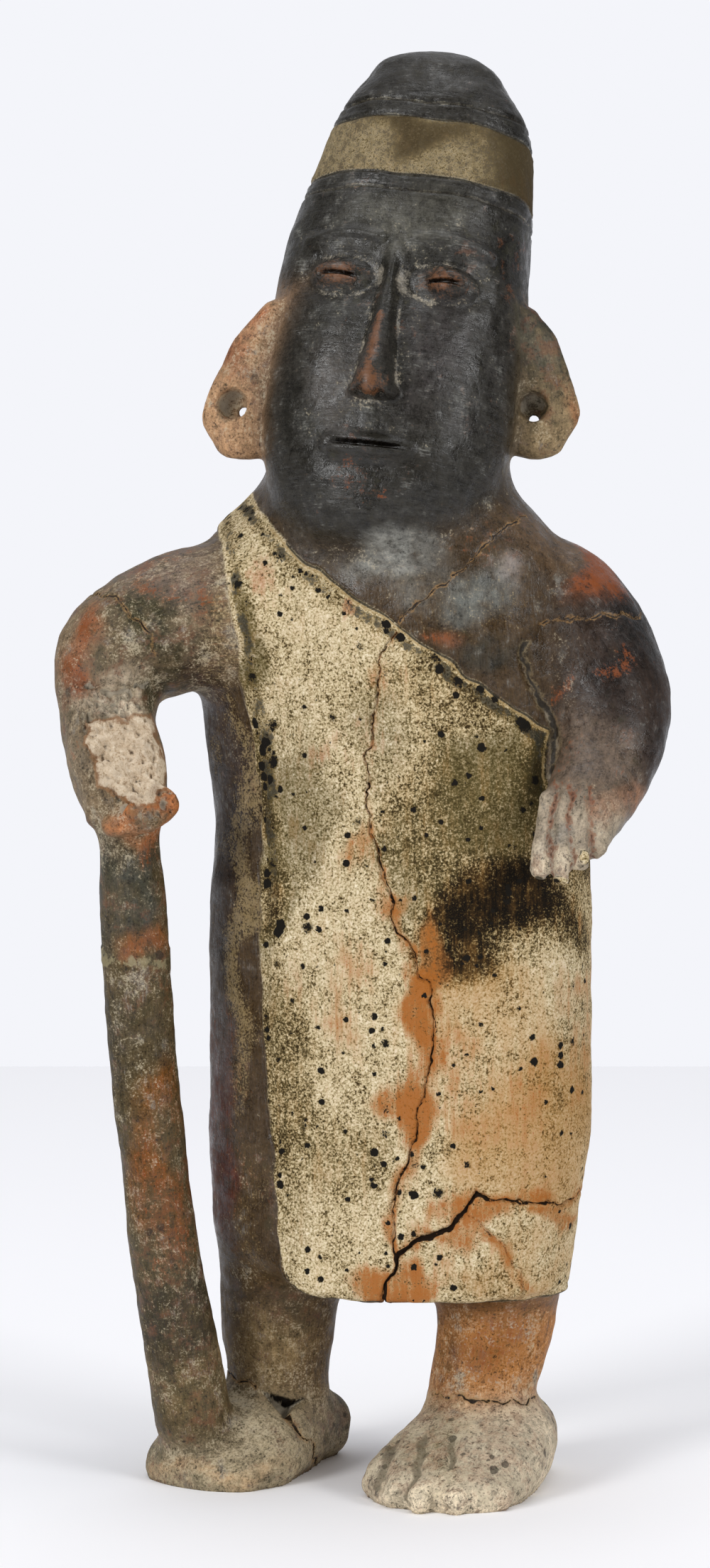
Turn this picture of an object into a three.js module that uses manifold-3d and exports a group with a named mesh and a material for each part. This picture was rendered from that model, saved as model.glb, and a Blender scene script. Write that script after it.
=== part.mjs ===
// A standing terracotta figure with a tall head, a mantle over one shoulder and a staff in its right hand.
// The whole work is one fired piece: body, mantle, limbs, staff and ears were joined as wet clay.
// Units are millimetres. +Z is up, the floor is z = 0, and the figure's front is on the -Y side.
import * as THREE from "three";
import { mergeVertices } from "three/addons/utils/BufferGeometryUtils.js";
import Module from "manifold-3d";

const wasm = await Module();
wasm.setup();

// Driving dimensions of the body
const bodyHalfWidth = 96.5;
const bodyHalfDepth = 58;
const bodyTurn = -18; // degrees about +Z: the body faces a little to its own right
const bodyX = 20.5;
const bodyY = 10;
const hemHeight = 96;
const mantleThickness = 3;

// Driving dimensions of the head, in its own frame: s runs up its axis from the neck
const headBase = new THREE.Vector3(12, -8, 478);
const headTurn = -11.5;
const headLean = 17;
const headTilt = 5;
const headHalfWidth = 65;
const chin = -20;
const crown = 233;

// The face is laid out on a canon: eyes halfway up the head, nose base halfway from eyes to chin,
// mouth a third of the way from nose to chin, and a head five eyes wide.
const eyeLine = (chin + crown) / 2;
const noseBase = (eyeLine + chin) / 2;
const mouthLine = noseBase - (noseBase - chin) / 3;
const eyeWidth = (2 * headHalfWidth) / 5;
const browLine = eyeLine + 0.7 * eyeWidth;
const faceDepth = -60; // the flat of the face, in front of the head's axis

// Headband: two narrow borders beside a broad band, parted by incised lines
const bandLines = [152, 160, 190, 199];
const lineHalfWidth = 1.1;
const lineDepth = 1.2;

// Where the middle of the figure's base lies in the coordinates used below
const baseCentre = new THREE.Vector3(3, -8.7, 0);

const up = new THREE.Vector3(0, 0, 1);
const down = new THREE.Vector3(0, 0, -1);
const back = new THREE.Vector3(0, 1, 0);
const radians = THREE.MathUtils.degToRad;
const vector = (x, y, z) => new THREE.Vector3(x, y, z);

// Frame of the head: turned, leaning back and tilted to its left
const headFrame = new THREE.Matrix4()
  .makeRotationFromEuler(new THREE.Euler(-radians(headLean), radians(headTilt), radians(headTurn), "ZYX"))
  .setPosition(headBase);

// Makes a manifold solid of a closed three.js geometry.
function solid(geometry) {
  const bare = geometry.index ? geometry.toNonIndexed() : geometry.clone();
  for (const name of Object.keys(bare.attributes)) if (name !== "position") bare.deleteAttribute(name);
  const merged = mergeVertices(bare, 1e-4);
  const mesh = new wasm.Mesh({
    numProp: 3,
    vertProperties: merged.attributes.position.array,
    triVerts: new Uint32Array(merged.index.array),
  });
  return new wasm.Manifold(mesh);
}

// A sine or cosine raised to a power below 1, so that an oval grows squarer as power grows past 2.
const squarer = (value, power) => Math.sign(value) * Math.abs(value) ** (2 / power);

// A closed skin over oval rings. Each ring is { at, wide, deep } and lies square to the path, or to
// normal where one is given. deep runs along reference. Domes of the lengths in domes close both ends.
function skin({ rings, around, along, reference = back, normal = null, power = 2, domes = [8, 8], domeRows = 3 }) {
  const centres = new THREE.CatmullRomCurve3(rings.map((r) => r.at), false, "catmullrom");
  const sizes = new THREE.CatmullRomCurve3(rings.map((r) => vector(r.wide, r.deep, 0)), false, "catmullrom");
  const rows = along + 2 * domeRows;
  const geometry = new THREE.SphereGeometry(1, around, rows);
  const position = geometry.getAttribute("position");
  for (let row = 0; row <= rows; row++) {
    const t = THREE.MathUtils.clamp((rows - row - domeRows) / along, 0, 1);
    const intoTop = Math.max(0, domeRows - row) / domeRows;
    const intoFoot = Math.max(0, row - rows + domeRows) / domeRows;
    const angle = ((intoTop || intoFoot) * Math.PI) / 2;
    const rise = (intoTop ? domes[1] : -domes[0]) * Math.sin(angle);
    const tangent = normal ?? centres.getTangent(t);
    const deepAxis = reference.clone().addScaledVector(tangent, -reference.dot(tangent)).normalize();
    const wideAxis = new THREE.Vector3().crossVectors(tangent, deepAxis);
    const size = sizes.getPoint(t);
    const shrink = row === 0 || row === rows ? 0 : Math.cos(angle);
    for (let column = 0; column <= around; column++) {
      const phi = (2 * Math.PI * (column % around)) / around;
      const point = centres
        .getPoint(t)
        .addScaledVector(tangent, rise)
        .addScaledVector(wideAxis, -squarer(Math.cos(phi), power) * size.x * shrink)
        .addScaledVector(deepAxis, squarer(Math.sin(phi), power) * size.y * shrink);
      position.setXYZ(row * (around + 1) + column, point.x, point.y, point.z);
    }
  }
  return geometry;
}

const ring = (x, y, z, wide, deep = wide) => ({ at: vector(x, y, z), wide, deep });

// Body from under the hem to the neck. Widths and depths are shares of the body's own.
// Only the mantle's copy reaches below its hem: the bare body rounds off above it.
function bodyRings(grow) {
  const profile = [
    [hemHeight - 8, -4, 0.9, 0.9],
    [118, -3.5, 0.925, 0.93],
    [138, -3, 0.95, 0.96],
    [175, 0, 0.99, 0.99],
    [225, 0, 1, 1],
    [290, 0, 0.995, 1],
    [312, 1, 0.975, 0.985],
    [345, 1, 0.985, 0.97],
    [385, -2, 1.01, 0.98],
    [408, -4, 1.03, 0.99],
    [428, -6, 1.02, 0.99],
    [450, -7, 0.98, 0.95],
    [465, -7, 0.9, 0.92],
    [478, -6, 0.79, 0.82],
    [489, -6, 0.7, 0.75],
    [502, -5, 0.65, 0.68],
    [518, -4, 0.62, 0.6],
  ];
  return profile
    .slice(grow > 0 ? 0 : 1)
    .map(([z, shift, wide, deep]) =>
      ring(bodyX + shift, bodyY, z, wide * bodyHalfWidth + grow, deep * bodyHalfDepth + grow),
    );
}

const turned = (degrees) => back.clone().applyAxisAngle(up, radians(degrees));

function body(grow = 0) {
  return skin({
    rings: bodyRings(grow),
    around: 36,
    along: 16,
    reference: turned(bodyTurn),
    normal: up,
    power: 2.2,
    domes: [grow > 0 ? 1 : 26, 6],
    domeRows: 2,
  });
}

// Outline of the mantle seen from the front: shoulder, open side, rounded corner, hem and neckline.
function mantleOutline() {
  const shoulder = [vector(-68.5, 474), vector(-60.5, 436), vector(-55.5, 392), vector(-51, 372)];
  const side = [vector(-49.5, 315), vector(-48, 262), vector(-45, 215), vector(-40, 168), vector(-36.8, 116)];
  const chest = [vector(135, 352), vector(96, 377), vector(68, 396), vector(48, 410)];
  const neckline = [...chest, vector(20, 430), vector(-8, 448), vector(-30, 465), vector(-48, 485)];
  const flat = (points) => points.map((p) => new THREE.Vector2(p.x, p.y));
  const cornerRadius = 20;
  const shape = new THREE.Shape();
  shape.moveTo(-74, 487);
  shape.splineThru(flat([...shoulder, ...side]));
  shape.quadraticCurveTo(-35, hemHeight, -35 + cornerRadius, hemHeight);
  shape.lineTo(150, hemHeight);
  shape.lineTo(150, 345);
  shape.splineThru(flat(neckline));
  shape.lineTo(-50, 487);
  return shape;
}

function mantle() {
  const depth = 200;
  const cutter = new THREE.ExtrudeGeometry(mantleOutline(), { depth, bevelEnabled: false, curveSegments: 2 });
  cutter.rotateX(Math.PI / 2).translate(0, depth / 2, 0);
  return solid(body(mantleThickness)).intersect(solid(cutter));
}

// Half-width, half-depth, and middle of the head at a height s in its own frame
function headProfile(s) {
  const stations = [
    [-14, 40, 34, 0, -9],
    [-4, 49, 42, 0, -8],
    [12, 56.5, 49, 0, -7],
    [32, 61, 52, -0.5, -7],
    [60, 64, 53, -1.5, -7],
    [90, headHalfWidth, 52.5, -2, -7],
    [127, 62, 50, -2, -8.5],
    [150, 59, 47, -1, -10.5],
    [171, 55, 43, 1, -13],
    [193, 48.5, 37.5, 2, -15.5],
    [205, 43, 33.5, 2, -17],
    [219, 33.5, 27, 1, -18.5],
  ];
  const upper = Math.max(1, stations.findIndex(([at]) => at >= s));
  const low = stations[upper - 1][0];
  const t = (upper - 1 + (s - low) / (stations[upper][0] - low)) / (stations.length - 1);
  const curve = (pick) => new THREE.CatmullRomCurve3(stations.map(pick), false, "catmullrom").getPoint(t);
  const size = curve(([, wide, deep]) => vector(wide, deep, 0));
  const middle = curve(([, , , x, y]) => vector(x, y, 0));
  return { wide: size.x, deep: size.y, x: middle.x, y: middle.y };
}

// The headband's incised lines are narrow waists between closely set rings.
function headRings() {
  const plain = [-14, -4, 8, 24, 45, 68, 90, 112, 132, 144];
  const above = [169, 180, 209, 219];
  const cuts = bandLines.flatMap((s) => [s - lineHalfWidth, s, s + lineHalfWidth]);
  return [...plain, ...above, ...cuts]
    .sort((a, b) => a - b)
    .map((s) => {
      const { wide, deep, x, y } = headProfile(s);
      const cut = bandLines.includes(s) ? lineDepth : 0;
      return ring(x, y, s, wide - cut, deep - cut);
    });
}

// Straight rows from ring to ring: every ring above is a row of its own, so a line stays narrow.
function head() {
  const rings = headRings();
  return skin({
    rings,
    around: 28,
    along: rings.length - 1,
    normal: up,
    power: 2.35,
    domes: [12, 15],
    domeRows: 2,
  });
}

// Nose: a straight ridge that widens to its wings
function nose() {
  const root = browLine - 4;
  const wing = eyeWidth / 2;
  return skin({
    rings: [
      ring(0, faceDepth + 4, root, 4, 5),
      ring(0, faceDepth + 1, (root + noseBase) / 2, 6.5, 9),
      ring(0, faceDepth - 2, noseBase + 12, 9, 14),
      ring(0, faceDepth - 1, noseBase + 4, wing, 14),
    ],
    around: 12,
    along: 5,
    domes: [5, 3],
    domeRows: 2,
  });
}

// A flattened round pellet lying on the face
function pellet(x, s, halfWidth, halfHeight, halfDepth, y) {
  const geometry = new THREE.SphereGeometry(1, 12, 6);
  return geometry.scale(halfWidth, halfDepth, halfHeight).translate(x, y, s);
}

// Front of the head at x and s, in the head's own frame
function faceY(x, s) {
  const { wide, deep, y } = headProfile(s);
  const power = 2.35;
  return y - deep * (1 - Math.min(1, Math.abs(x) / wide) ** power) ** (1 / power);
}

// Eyes, brows and mouth as raised clay, and the slits cut into them
function faceRelief() {
  const raised = [solid(nose())];
  const cuts = [];
  for (const sign of [-1, 1]) {
    const eyeX = sign * eyeWidth;
    raised.push(solid(pellet(eyeX, eyeLine, eyeWidth / 2, 6.5, 4, faceY(eyeX, eyeLine) + 1)));
    cuts.push(solid(pellet(eyeX, eyeLine, eyeWidth / 3, 1, 6, faceY(eyeX, eyeLine) - 2)));
    const brow = [0.35, 0.8, 1.3, 1.75].map((share) => {
      const x = sign * share * eyeWidth;
      const s = browLine + 5 * Math.sin((Math.PI * share) / 2) - 1.5 * share;
      return ring(x, faceY(x, s) + 0.6, s, 2.4, 2.2);
    });
    raised.push(solid(skin({ rings: brow, around: 8, along: 5, domes: [3, 3], domeRows: 1 })));
    cuts.push(solid(pellet(sign * 5, noseBase + 1, 2, 2.5, 3, faceDepth - 8)));
  }
  const lipY = faceY(0, mouthLine);
  const mouthHalfWidth = 0.75 * eyeWidth;
  raised.push(solid(pellet(0, mouthLine, mouthHalfWidth + 3, 6, 4, lipY + 1.5)));
  cuts.push(solid(pellet(0, mouthLine, mouthHalfWidth, 1.6, 8, lipY - 2)));
  return { raised, cuts };
}

// Ears: flat flaps that swell downward into a round lobe, pierced by a funnel-shaped hole
const earThickness = 15;
const earFront = -12;
const earFlaps = {
  right: [[-36, 583, 8], [-43, 569, 12], [-48, 554, 15.5], [-54, 540, 18.5], [-56, 527, 19.5], [-54, 514, 14]],
  left: [[82, 583, 8], [86, 570, 12], [87, 556, 15], [90, 542, 18.5], [91, 528, 19.5], [88, 514, 14]],
};
const earHoles = { right: [-58, 535], left: [87, 533] };
const earHoleMouth = 8.5;
const earHoleThroat = 3.2;
const earHoleDrop = 4; // the throat lies this far below the middle of the mouth

function ear(side) {
  const y = earFront + earThickness / 2;
  const rings = earFlaps[side].map(([x, z, wide]) => ring(x, y, z, wide, earThickness / 2));
  return solid(skin({ rings, around: 14, along: 6, normal: down, power: 2.3, domes: [4, 6], domeRows: 2 }));
}

// A funnel from the front of the lobe, then a straight throat out through its back
function earHole(side) {
  const [x, z] = earHoles[side];
  const front = earFront - 5;
  const rear = earFront + earThickness + 6;
  const waist = earFront + 0.6 * earThickness;
  const throatZ = z - earHoleDrop;
  return skin({
    rings: [
      ring(x, front, z, earHoleMouth + 2, earHoleMouth + 2),
      ring(x, front + 4, z, earHoleMouth, earHoleMouth),
      ring(x, waist, throatZ + 0.6, earHoleThroat + 1, earHoleThroat + 1),
      ring(x, waist + 5, throatZ, earHoleThroat, earHoleThroat),
      ring(x, rear, throatZ, earHoleThroat, earHoleThroat),
    ],
    around: 12,
    along: 6,
    reference: up,
    normal: back,
    domes: [1, 1],
    domeRows: 1,
  });
}

// Right arm: out and down to the elbow, then forward to the staff, where the hand has broken away
function rightArm() {
  return skin({
    rings: [
      ring(-38, 9, 437, 37, 38),
      ring(-84, 7, 429.5, 35, 36),
      ring(-114.5, 1, 411, 33, 33),
      ring(-118.5, -12, 384, 26.5),
      ring(-115.5, -27, 362, 24),
      ring(-112, -36, 345, 22.5, 21),
      ring(-109.5, -39, 330, 18),
    ],
    around: 16,
    along: 9,
    domes: [6, 6],
    domeRows: 2,
  });
}

// Stubs of the lost hand's thumb and fingers, clasping the head of the staff
function fingerStubs() {
  const thumb = [ring(-118, -54, 330, 6), ring(-100, -55, 333, 7.5), ring(-92, -47, 339, 8)];
  const finger = [ring(-125, -48, 344, 6), ring(-126, -43, 335, 5.5)];
  return [thumb, finger].map((rings) => skin({ rings, around: 8, along: 3, domes: [5, 5], domeRows: 1 }));
}

// Left arm: out from the shoulder, down to the elbow, then forward and down to the hanging hand
function leftArm() {
  return skin({
    rings: [
      ring(52, 8, 443, 36, 38),
      ring(95, 3, 432, 37, 36),
      ring(116.5, -3, 404, 36, 35),
      ring(122.5, -20, 379, 30, 30),
      ring(116.5, -50, 355, 22.5, 20),
      ring(106, -71, 337, 18.5, 14.5),
      ring(100, -82, 323, 15.5, 12),
    ],
    around: 16,
    along: 10,
    domes: [6, 6],
    domeRows: 2,
  });
}

// Four fingers of the left hand, hanging side by side from the knuckles
function fingers() {
  return [-1.5, -0.5, 0.5, 1.5].map((step) => {
    const knuckle = vector(111 + 7 * step, -74, 343 - 3 * step);
    const tip = vector(98.5 + 6 * step, -90 + 1.5 * step * step, 312 + 2.5 * step * step + 3 * step);
    return skin({
      rings: [ring(knuckle.x, knuckle.y, knuckle.z, 5.5, 6), ring(tip.x, tip.y, tip.z, 5, 5.5)],
      around: 8,
      along: 2,
      domes: [4, 5],
      domeRows: 1,
    });
  });
}

// Staff: a stout, slightly bowed rod from the hand to the top of the right foot
function staff() {
  return skin({
    rings: [
      ring(-110.5, -38, 338, 14, 14),
      ring(-109.3, -36, 310, 15.7),
      ring(-107, -33, 260, 15.9),
      ring(-102.5, -27, 198, 16.2),
      ring(-98, -22, 148, 16.4),
      ring(-91.5, -16, 100, 17.2),
      ring(-84.3, -11, 55, 18.6),
      ring(-80.5, -9, 26, 20.5),
    ],
    around: 14,
    along: 8,
    domes: [4, 6],
    domeRows: 1,
  });
}

function leg(rings) {
  return skin({ rings, around: 18, along: 5, domes: [4, 6], domeRows: 1 });
}

const rightLeg = () =>
  leg([
    ring(-30, 18, 165, 34, 38),
    ring(-35, 23, 126, 33, 35),
    ring(-37, 29, 94, 30.5, 30),
    ring(-38.5, 32, 68, 27.5),
    ring(-39, 33, 45, 25.5),
    ring(-41, 30, 22, 28),
  ]);
const leftLeg = () =>
  leg([ring(70, 0, 140, 31, 30), ring(70, 0, 92, 30), ring(67, 0, 64, 28), ring(63.5, -2, 42, 27.5), ring(61, -6, 22, 30)]);

// Feet are lofted from heel to toe, then cut flat at the floor.
function foot(rings, toeLength) {
  return skin({ rings, around: 16, along: 7, reference: up, power: 2.3, domes: [9, toeLength], domeRows: 2 });
}

const rightFoot = () =>
  foot(
    [
      ring(-15, 56, 15, 15, 17),
      ring(-31, 42, 18, 26, 23),
      ring(-52, 19, 16, 37, 24),
      ring(-66, 1, 10, 41, 20),
      ring(-73, -9, 7, 35, 15),
    ],
    17,
  );
const leftFoot = () =>
  foot(
    [
      ring(82, 28, 15, 19, 19),
      ring(75, 10, 19, 29, 26),
      ring(61, -18, 17, 39, 25),
      ring(46.5, -44, 10, 42, 19),
      ring(41, -60, 6, 36, 14),
    ],
    19,
  );

// Five toes of the left foot, laid side by side along its front edge
function toes() {
  const forward = vector(-0.42, -0.91, 0);
  const across = vector(0.91, -0.42, 0);
  return [-2, -1, 0, 1, 2].map((step) => {
    const tip = vector(43, -52, 6)
      .addScaledVector(across, 16.5 * step)
      .addScaledVector(forward, 29 - 5.5 * step * step);
    const knuckle = vector(57, -26, 30 - 2.5 * step * step)
      .addScaledVector(across, 11 * step)
      .addScaledVector(forward, -2 * step * step);
    return skin({
      rings: [ring(knuckle.x, knuckle.y, knuckle.z, 5, 5), ring(tip.x, tip.y, tip.z, 7, 7)],
      around: 8,
      along: 2,
      reference: up,
      domes: [4, 6],
      domeRows: 1,
    });
  });
}

// A slab whose face cuts away one side of what it meets: face is a point on that side, outward its normal.
function slab(face, outward, width, height) {
  const thickness = 30;
  const geometry = new THREE.BoxGeometry(width, height, thickness).translate(0, 0, thickness / 2);
  const turn = new THREE.Quaternion().setFromUnitVectors(up, outward.clone().normalize());
  return geometry.applyQuaternion(turn).translate(face.x, face.y, face.z);
}

// Fracture where the right hand has broken away from the wrist and staff
const handFracture = () => slab(vector(-111.5, -47, 360), vector(0.1, -0.86, 0.5), 60, 46);

// Chip lost at the right ankle: a three-sided pit into the leg
function ankleChip() {
  const geometry = new THREE.CylinderGeometry(8, 4, 26, 3);
  return geometry.rotateX(Math.PI / 2).rotateY(Math.PI).translate(-34, 8, 40);
}

const floorBlock = () => new THREE.BoxGeometry(600, 600, 60).translate(0, 0, -30);

// Joins every form and makes the cuts.
function figureSolid() {
  const { raised, cuts } = faceRelief();
  const headForms = [solid(head()), ...raised].reduce((all, form) => all.add(form));
  const headSolid = cuts.reduce((all, cut) => all.subtract(cut), headForms);
  const inHeadFrame = headSolid.transform(headFrame.toArray());
  const limbs = [rightArm(), leftArm(), staff(), rightLeg(), leftLeg(), rightFoot(), leftFoot()];
  const forms = [...limbs, ...fingers(), ...fingerStubs(), ...toes()].map(solid);
  const joined = [inHeadFrame, mantle(), ear("right"), ear("left"), ...forms].reduce(
    (all, form) => all.add(form),
    solid(body()),
  );
  const cutters = [earHole("right"), earHole("left"), handFracture(), ankleChip(), floorBlock()];
  return cutters.reduce((all, cut) => all.subtract(solid(cut)), joined);
}

// A manifold solid as a three.js geometry
function geometryOf(made) {
  const mesh = made.getMesh();
  const stride = mesh.numProp;
  const positions = new Float32Array(mesh.numVert * 3);
  for (let i = 0; i < mesh.numVert; i++) {
    positions.set(mesh.vertProperties.subarray(i * stride, i * stride + 3), i * 3);
  }
  return new THREE.BufferGeometry()
    .setAttribute("position", new THREE.BufferAttribute(positions, 3))
    .setIndex(new THREE.BufferAttribute(mesh.triVerts, 1));
}

const firedClay = new THREE.MeshStandardMaterial({ color: 0x8a7557, roughness: 0.62, metalness: 0 });
const figure = new THREE.Mesh(geometryOf(figureSolid()), firedClay);
figure.name = "figure";
figure.position.copy(baseCentre).negate();

const model = new THREE.Group();
model.add(figure);
export default model;
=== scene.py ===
# %% [markdown]
# # A standing terracotta figure with a staff
#
# The object is one hollow figure of fired clay. Its maker joined coils and slabs of wet clay, smoothed the
# joins, painted the mantle with a pale slip, and rubbed the bare parts with a hard pebble until they shone.
# Smoke then blackened the head in the fire. This lesson builds it the same way round: rough forms first,
# luted joins next, then the edges and incised lines, and last the slip, the burnish and the marks of age.
#
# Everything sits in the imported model's frame. The camera comes first, because it fixes what has to match.

import bpy
import numpy as np
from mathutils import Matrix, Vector


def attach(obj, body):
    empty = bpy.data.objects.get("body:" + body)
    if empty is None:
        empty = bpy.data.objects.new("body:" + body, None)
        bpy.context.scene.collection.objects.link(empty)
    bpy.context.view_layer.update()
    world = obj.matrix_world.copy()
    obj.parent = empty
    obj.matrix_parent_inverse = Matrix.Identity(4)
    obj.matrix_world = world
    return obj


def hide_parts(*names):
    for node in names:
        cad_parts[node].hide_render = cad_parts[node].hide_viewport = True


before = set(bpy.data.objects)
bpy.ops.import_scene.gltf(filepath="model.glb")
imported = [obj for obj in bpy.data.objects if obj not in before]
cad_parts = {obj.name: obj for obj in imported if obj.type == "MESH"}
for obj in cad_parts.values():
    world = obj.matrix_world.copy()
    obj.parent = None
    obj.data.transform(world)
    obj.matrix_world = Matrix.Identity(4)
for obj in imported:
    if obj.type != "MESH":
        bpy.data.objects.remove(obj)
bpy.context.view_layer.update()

# %% Camera at the photograph's viewing angle
camera_data = bpy.data.cameras.new("camera")
camera = bpy.data.objects.new("camera", camera_data)
bpy.context.scene.collection.objects.link(camera)
bpy.context.scene.camera = camera
PITCH_DOWN = 4.7  # degrees
camera.location = (-0.003, -2.3913, 0.545)
camera.rotation_euler = (np.radians(90 - PITCH_DOWN), 0, 0)
camera_data.sensor_width = 36
camera_data.lens = 111.8
print("camera is", round(-camera.location.y, 2), "m in front, lens", camera_data.lens, "mm")

# %% [markdown]
# ## Curves through rings
#
# A coil-built body is a stack of ovals whose middle wanders and whose width swells and narrows. The same
# idea makes every form here: a few measured rings, and a smooth curve through them. A Catmull-Rom curve is
# the simplest one that passes through each ring, and numpy can work out all its points at once.
#
# Lengths are millimetres until the mesh is finished. BASE is the middle of the figure's base.

# %% Helper: a smooth curve through points
BASE = np.array([3, -8.7, 0])
UP = np.array([0, 0, 1.0])
BACK = np.array([0, 1.0, 0])


def curve(points, t):
    """Values at t (0 to 1) on the curve through points.

    Between two points the curve is the cubic that passes through both, and whose slope at each is half the
    step between that point's two neighbours. Before the first and after the last point it goes straight on.
    """
    points = np.asarray(points, float)
    padded = np.vstack([2 * points[0] - points[1], points, 2 * points[-1] - points[-2]])
    place = np.clip(t, 0, 1) * (len(points) - 1)
    i = np.minimum(place.astype(int), len(points) - 2)
    w = (place - i)[:, None]
    a, b, c, d = padded[i], padded[i + 1], padded[i + 2], padded[i + 3]
    return b + w / 2 * ((c - a) + w * ((2 * a - 5 * b + 4 * c - d) + w * (3 * (b - c) + d - a)))


print("half way through three points:", curve([[0], [1], [4]], np.array([0.5])).round(2))

# %% [markdown]
# ## A closed skin over the rings
#
# Each ring lies square to the path. It is an oval whose sine and cosine are raised to a power a little
# below 1, so it is squarer than an ellipse, as a hand-pressed clay wall is. Half-domes close both ends, so
# that every form is a closed shell before the forms are joined.
#
# The spine keeps where the rings are, because later steps ask how far a point is from each form.

# %% Helper: the head's own axes
HEAD_BASE = np.array([12, -8, 478.0])


def turn(axis, degrees):
    """Rotation matrix about one of the x, y or z axes: the other two axes turn by the angle."""
    c, s = np.cos(np.radians(degrees)), np.sin(np.radians(degrees))
    i, j = [k for k in range(3) if k != axis]
    s = -s if axis == 1 else s
    m = np.eye(3)
    m[i, i], m[i, j], m[j, i], m[j, j] = c, -s, s, c
    return m


# The head is turned to its right, tilted to its left and leans back
HEAD_TURN = turn(2, -11.5) @ turn(1, 5) @ turn(0, -17)


def head_place(points):
    """Places in the head's own axes: to its left, to its back, and up from the neck."""
    return (points - HEAD_BASE) @ HEAD_TURN


print("head's axis points", (HEAD_TURN @ UP).round(2))


# %% Helper: spine of a form
def spine(rings, t, reference=BACK, normal=None, in_head=False):
    """Middle, direction, wide axis, deep axis and both half-sizes at each t.

    The direction is the step between two nearby points of the middle curve, or normal where it is given.
    The deep axis is reference less its part along the direction, and the wide axis is square to both.
    """
    rings = np.asarray(rings, float)
    middle = curve(rings[:, :3], t)
    sizes = curve(rings[:, 3:5], t)
    along = curve(rings[:, :3], t + 1e-4) - curve(rings[:, :3], t - 1e-4)
    along = along if normal is None else np.tile(normal, (len(t), 1)).astype(float)
    along /= np.linalg.norm(along, axis=1)[:, None]
    deep = reference - along * (along @ reference)[:, None]
    deep /= np.linalg.norm(deep, axis=1)[:, None]
    wide = np.cross(along, deep)
    if in_head:
        middle = middle @ HEAD_TURN.T + HEAD_BASE
        along, wide, deep = along @ HEAD_TURN.T, wide @ HEAD_TURN.T, deep @ HEAD_TURN.T
    return middle, along, wide, deep, sizes


print("a test spine starts at", spine([[0, 0, 0, 5, 5], [0, 0, 9, 5, 5]], np.zeros(1))[0][0])

# %% Helper: closed skin over rings
def skin(rings, power=2.0, domes=(8, 8), around=48, rows=40, dome_rows=6, **lie):
    """Points and faces of a closed shell.

    A point is the middle, plus the wide axis times half-width times cos(angle), plus the deep axis times
    half-depth times sin(angle), where cos and sin are raised to 2/power. At the ends, the rings shrink
    by a cosine while they move out by a sine, which makes a half-dome, and one point closes each dome.
    """
    swing = np.linspace(0, np.pi / 2, dome_rows + 1)[1:-1]
    t = np.concatenate([np.zeros(len(swing)), np.linspace(0, 1, rows), np.ones(len(swing))])
    level = np.zeros(rows)
    lift = np.concatenate([-domes[0] * np.sin(swing[::-1]), level, domes[1] * np.sin(swing)])
    shrink = np.concatenate([np.cos(swing[::-1]), level + 1, np.cos(swing)])
    middle, along, wide, deep, sizes = spine(rings, t, **lie)
    angle = np.linspace(0, 2 * np.pi, around, endpoint=False)
    c = np.sign(np.cos(angle)) * np.abs(np.cos(angle)) ** (2 / power)
    s = np.sign(np.sin(angle)) * np.abs(np.sin(angle)) ** (2 / power)
    centres = middle + along * lift[:, None]
    sides = (
        centres[:, None]
        - wide[:, None] * (sizes[:, 0] * shrink)[:, None, None] * c[None, :, None]
        + deep[:, None] * (sizes[:, 1] * shrink)[:, None, None] * s[None, :, None]
    )
    ends = [middle[0] - along[0] * domes[0], middle[-1] + along[-1] * domes[1]]
    points = np.vstack([sides.reshape(-1, 3), ends])
    n = len(t)
    i, j = np.meshgrid(np.arange(n - 1), np.arange(around), indexing="ij")
    k = (j + 1) % around
    quads = np.stack([i * around + j, i * around + k, (i + 1) * around + k, (i + 1) * around + j], -1)
    ring = np.arange(around)
    after = (ring + 1) % around
    foot = np.stack([after, ring, np.full(around, n * around)], -1)
    top = np.stack([ring, after, np.full(around, n * around + 1)], -1)
    top[:, :2] += (n - 1) * around
    return points, quads.reshape(-1, 4).tolist() + foot.tolist() + top.tolist()


print("a test skin has", len(skin([[0, 0, 0, 5, 5], [0, 0, 9, 5, 5]])[0]), "points")

# %% [markdown]
# ## The forms
#
# These are the figure's parts as they were before the maker smoothed them together: a body like a flattened
# tube, a tall sloping head, two arms, a stout bowed staff, two legs and two broad feet. Each ring is
# x, y, z of its middle, then half-width and half-depth. FORMS keeps them by name.

# %% Body and head
BODY_HALF_WIDTH, BODY_HALF_DEPTH, BODY_X, BODY_Y = 96.5, 58, 20.5, 10
HEM = 96
HEAD_POWER = 2.35
BODY_PROFILE = np.array([
    # height, shift, share of width, share of depth
    [88, -4, 0.915, 0.93], [118, -3.5, 0.94, 0.94], [138, -2.5, 0.96, 0.97], [175, 0, 0.99, 0.99],
    [225, 0, 0.993, 1], [290, 0, 0.99, 1], [312, 1, 0.972, 0.985], [345, 1, 0.985, 0.97],
    [385, -2, 1.01, 0.98], [408, -4, 1.03, 0.99], [428, -6, 1.02, 0.99], [450, -7, 0.98, 0.95],
    [465, -7, 0.93, 0.93], [478, -6, 0.83, 0.84], [489, -6, 0.72, 0.75], [502, -5, 0.64, 0.67],
    [518, -4, 0.6, 0.6],
])
height, shift, wide_share, deep_share = BODY_PROFILE.T
body_rings = np.stack([
    BODY_X + shift, BODY_Y + 0 * height, height,
    wide_share * BODY_HALF_WIDTH, deep_share * BODY_HALF_DEPTH,
], 1)
BODY_LIE = dict(reference=turn(2, -18) @ BACK, normal=UP)

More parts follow.
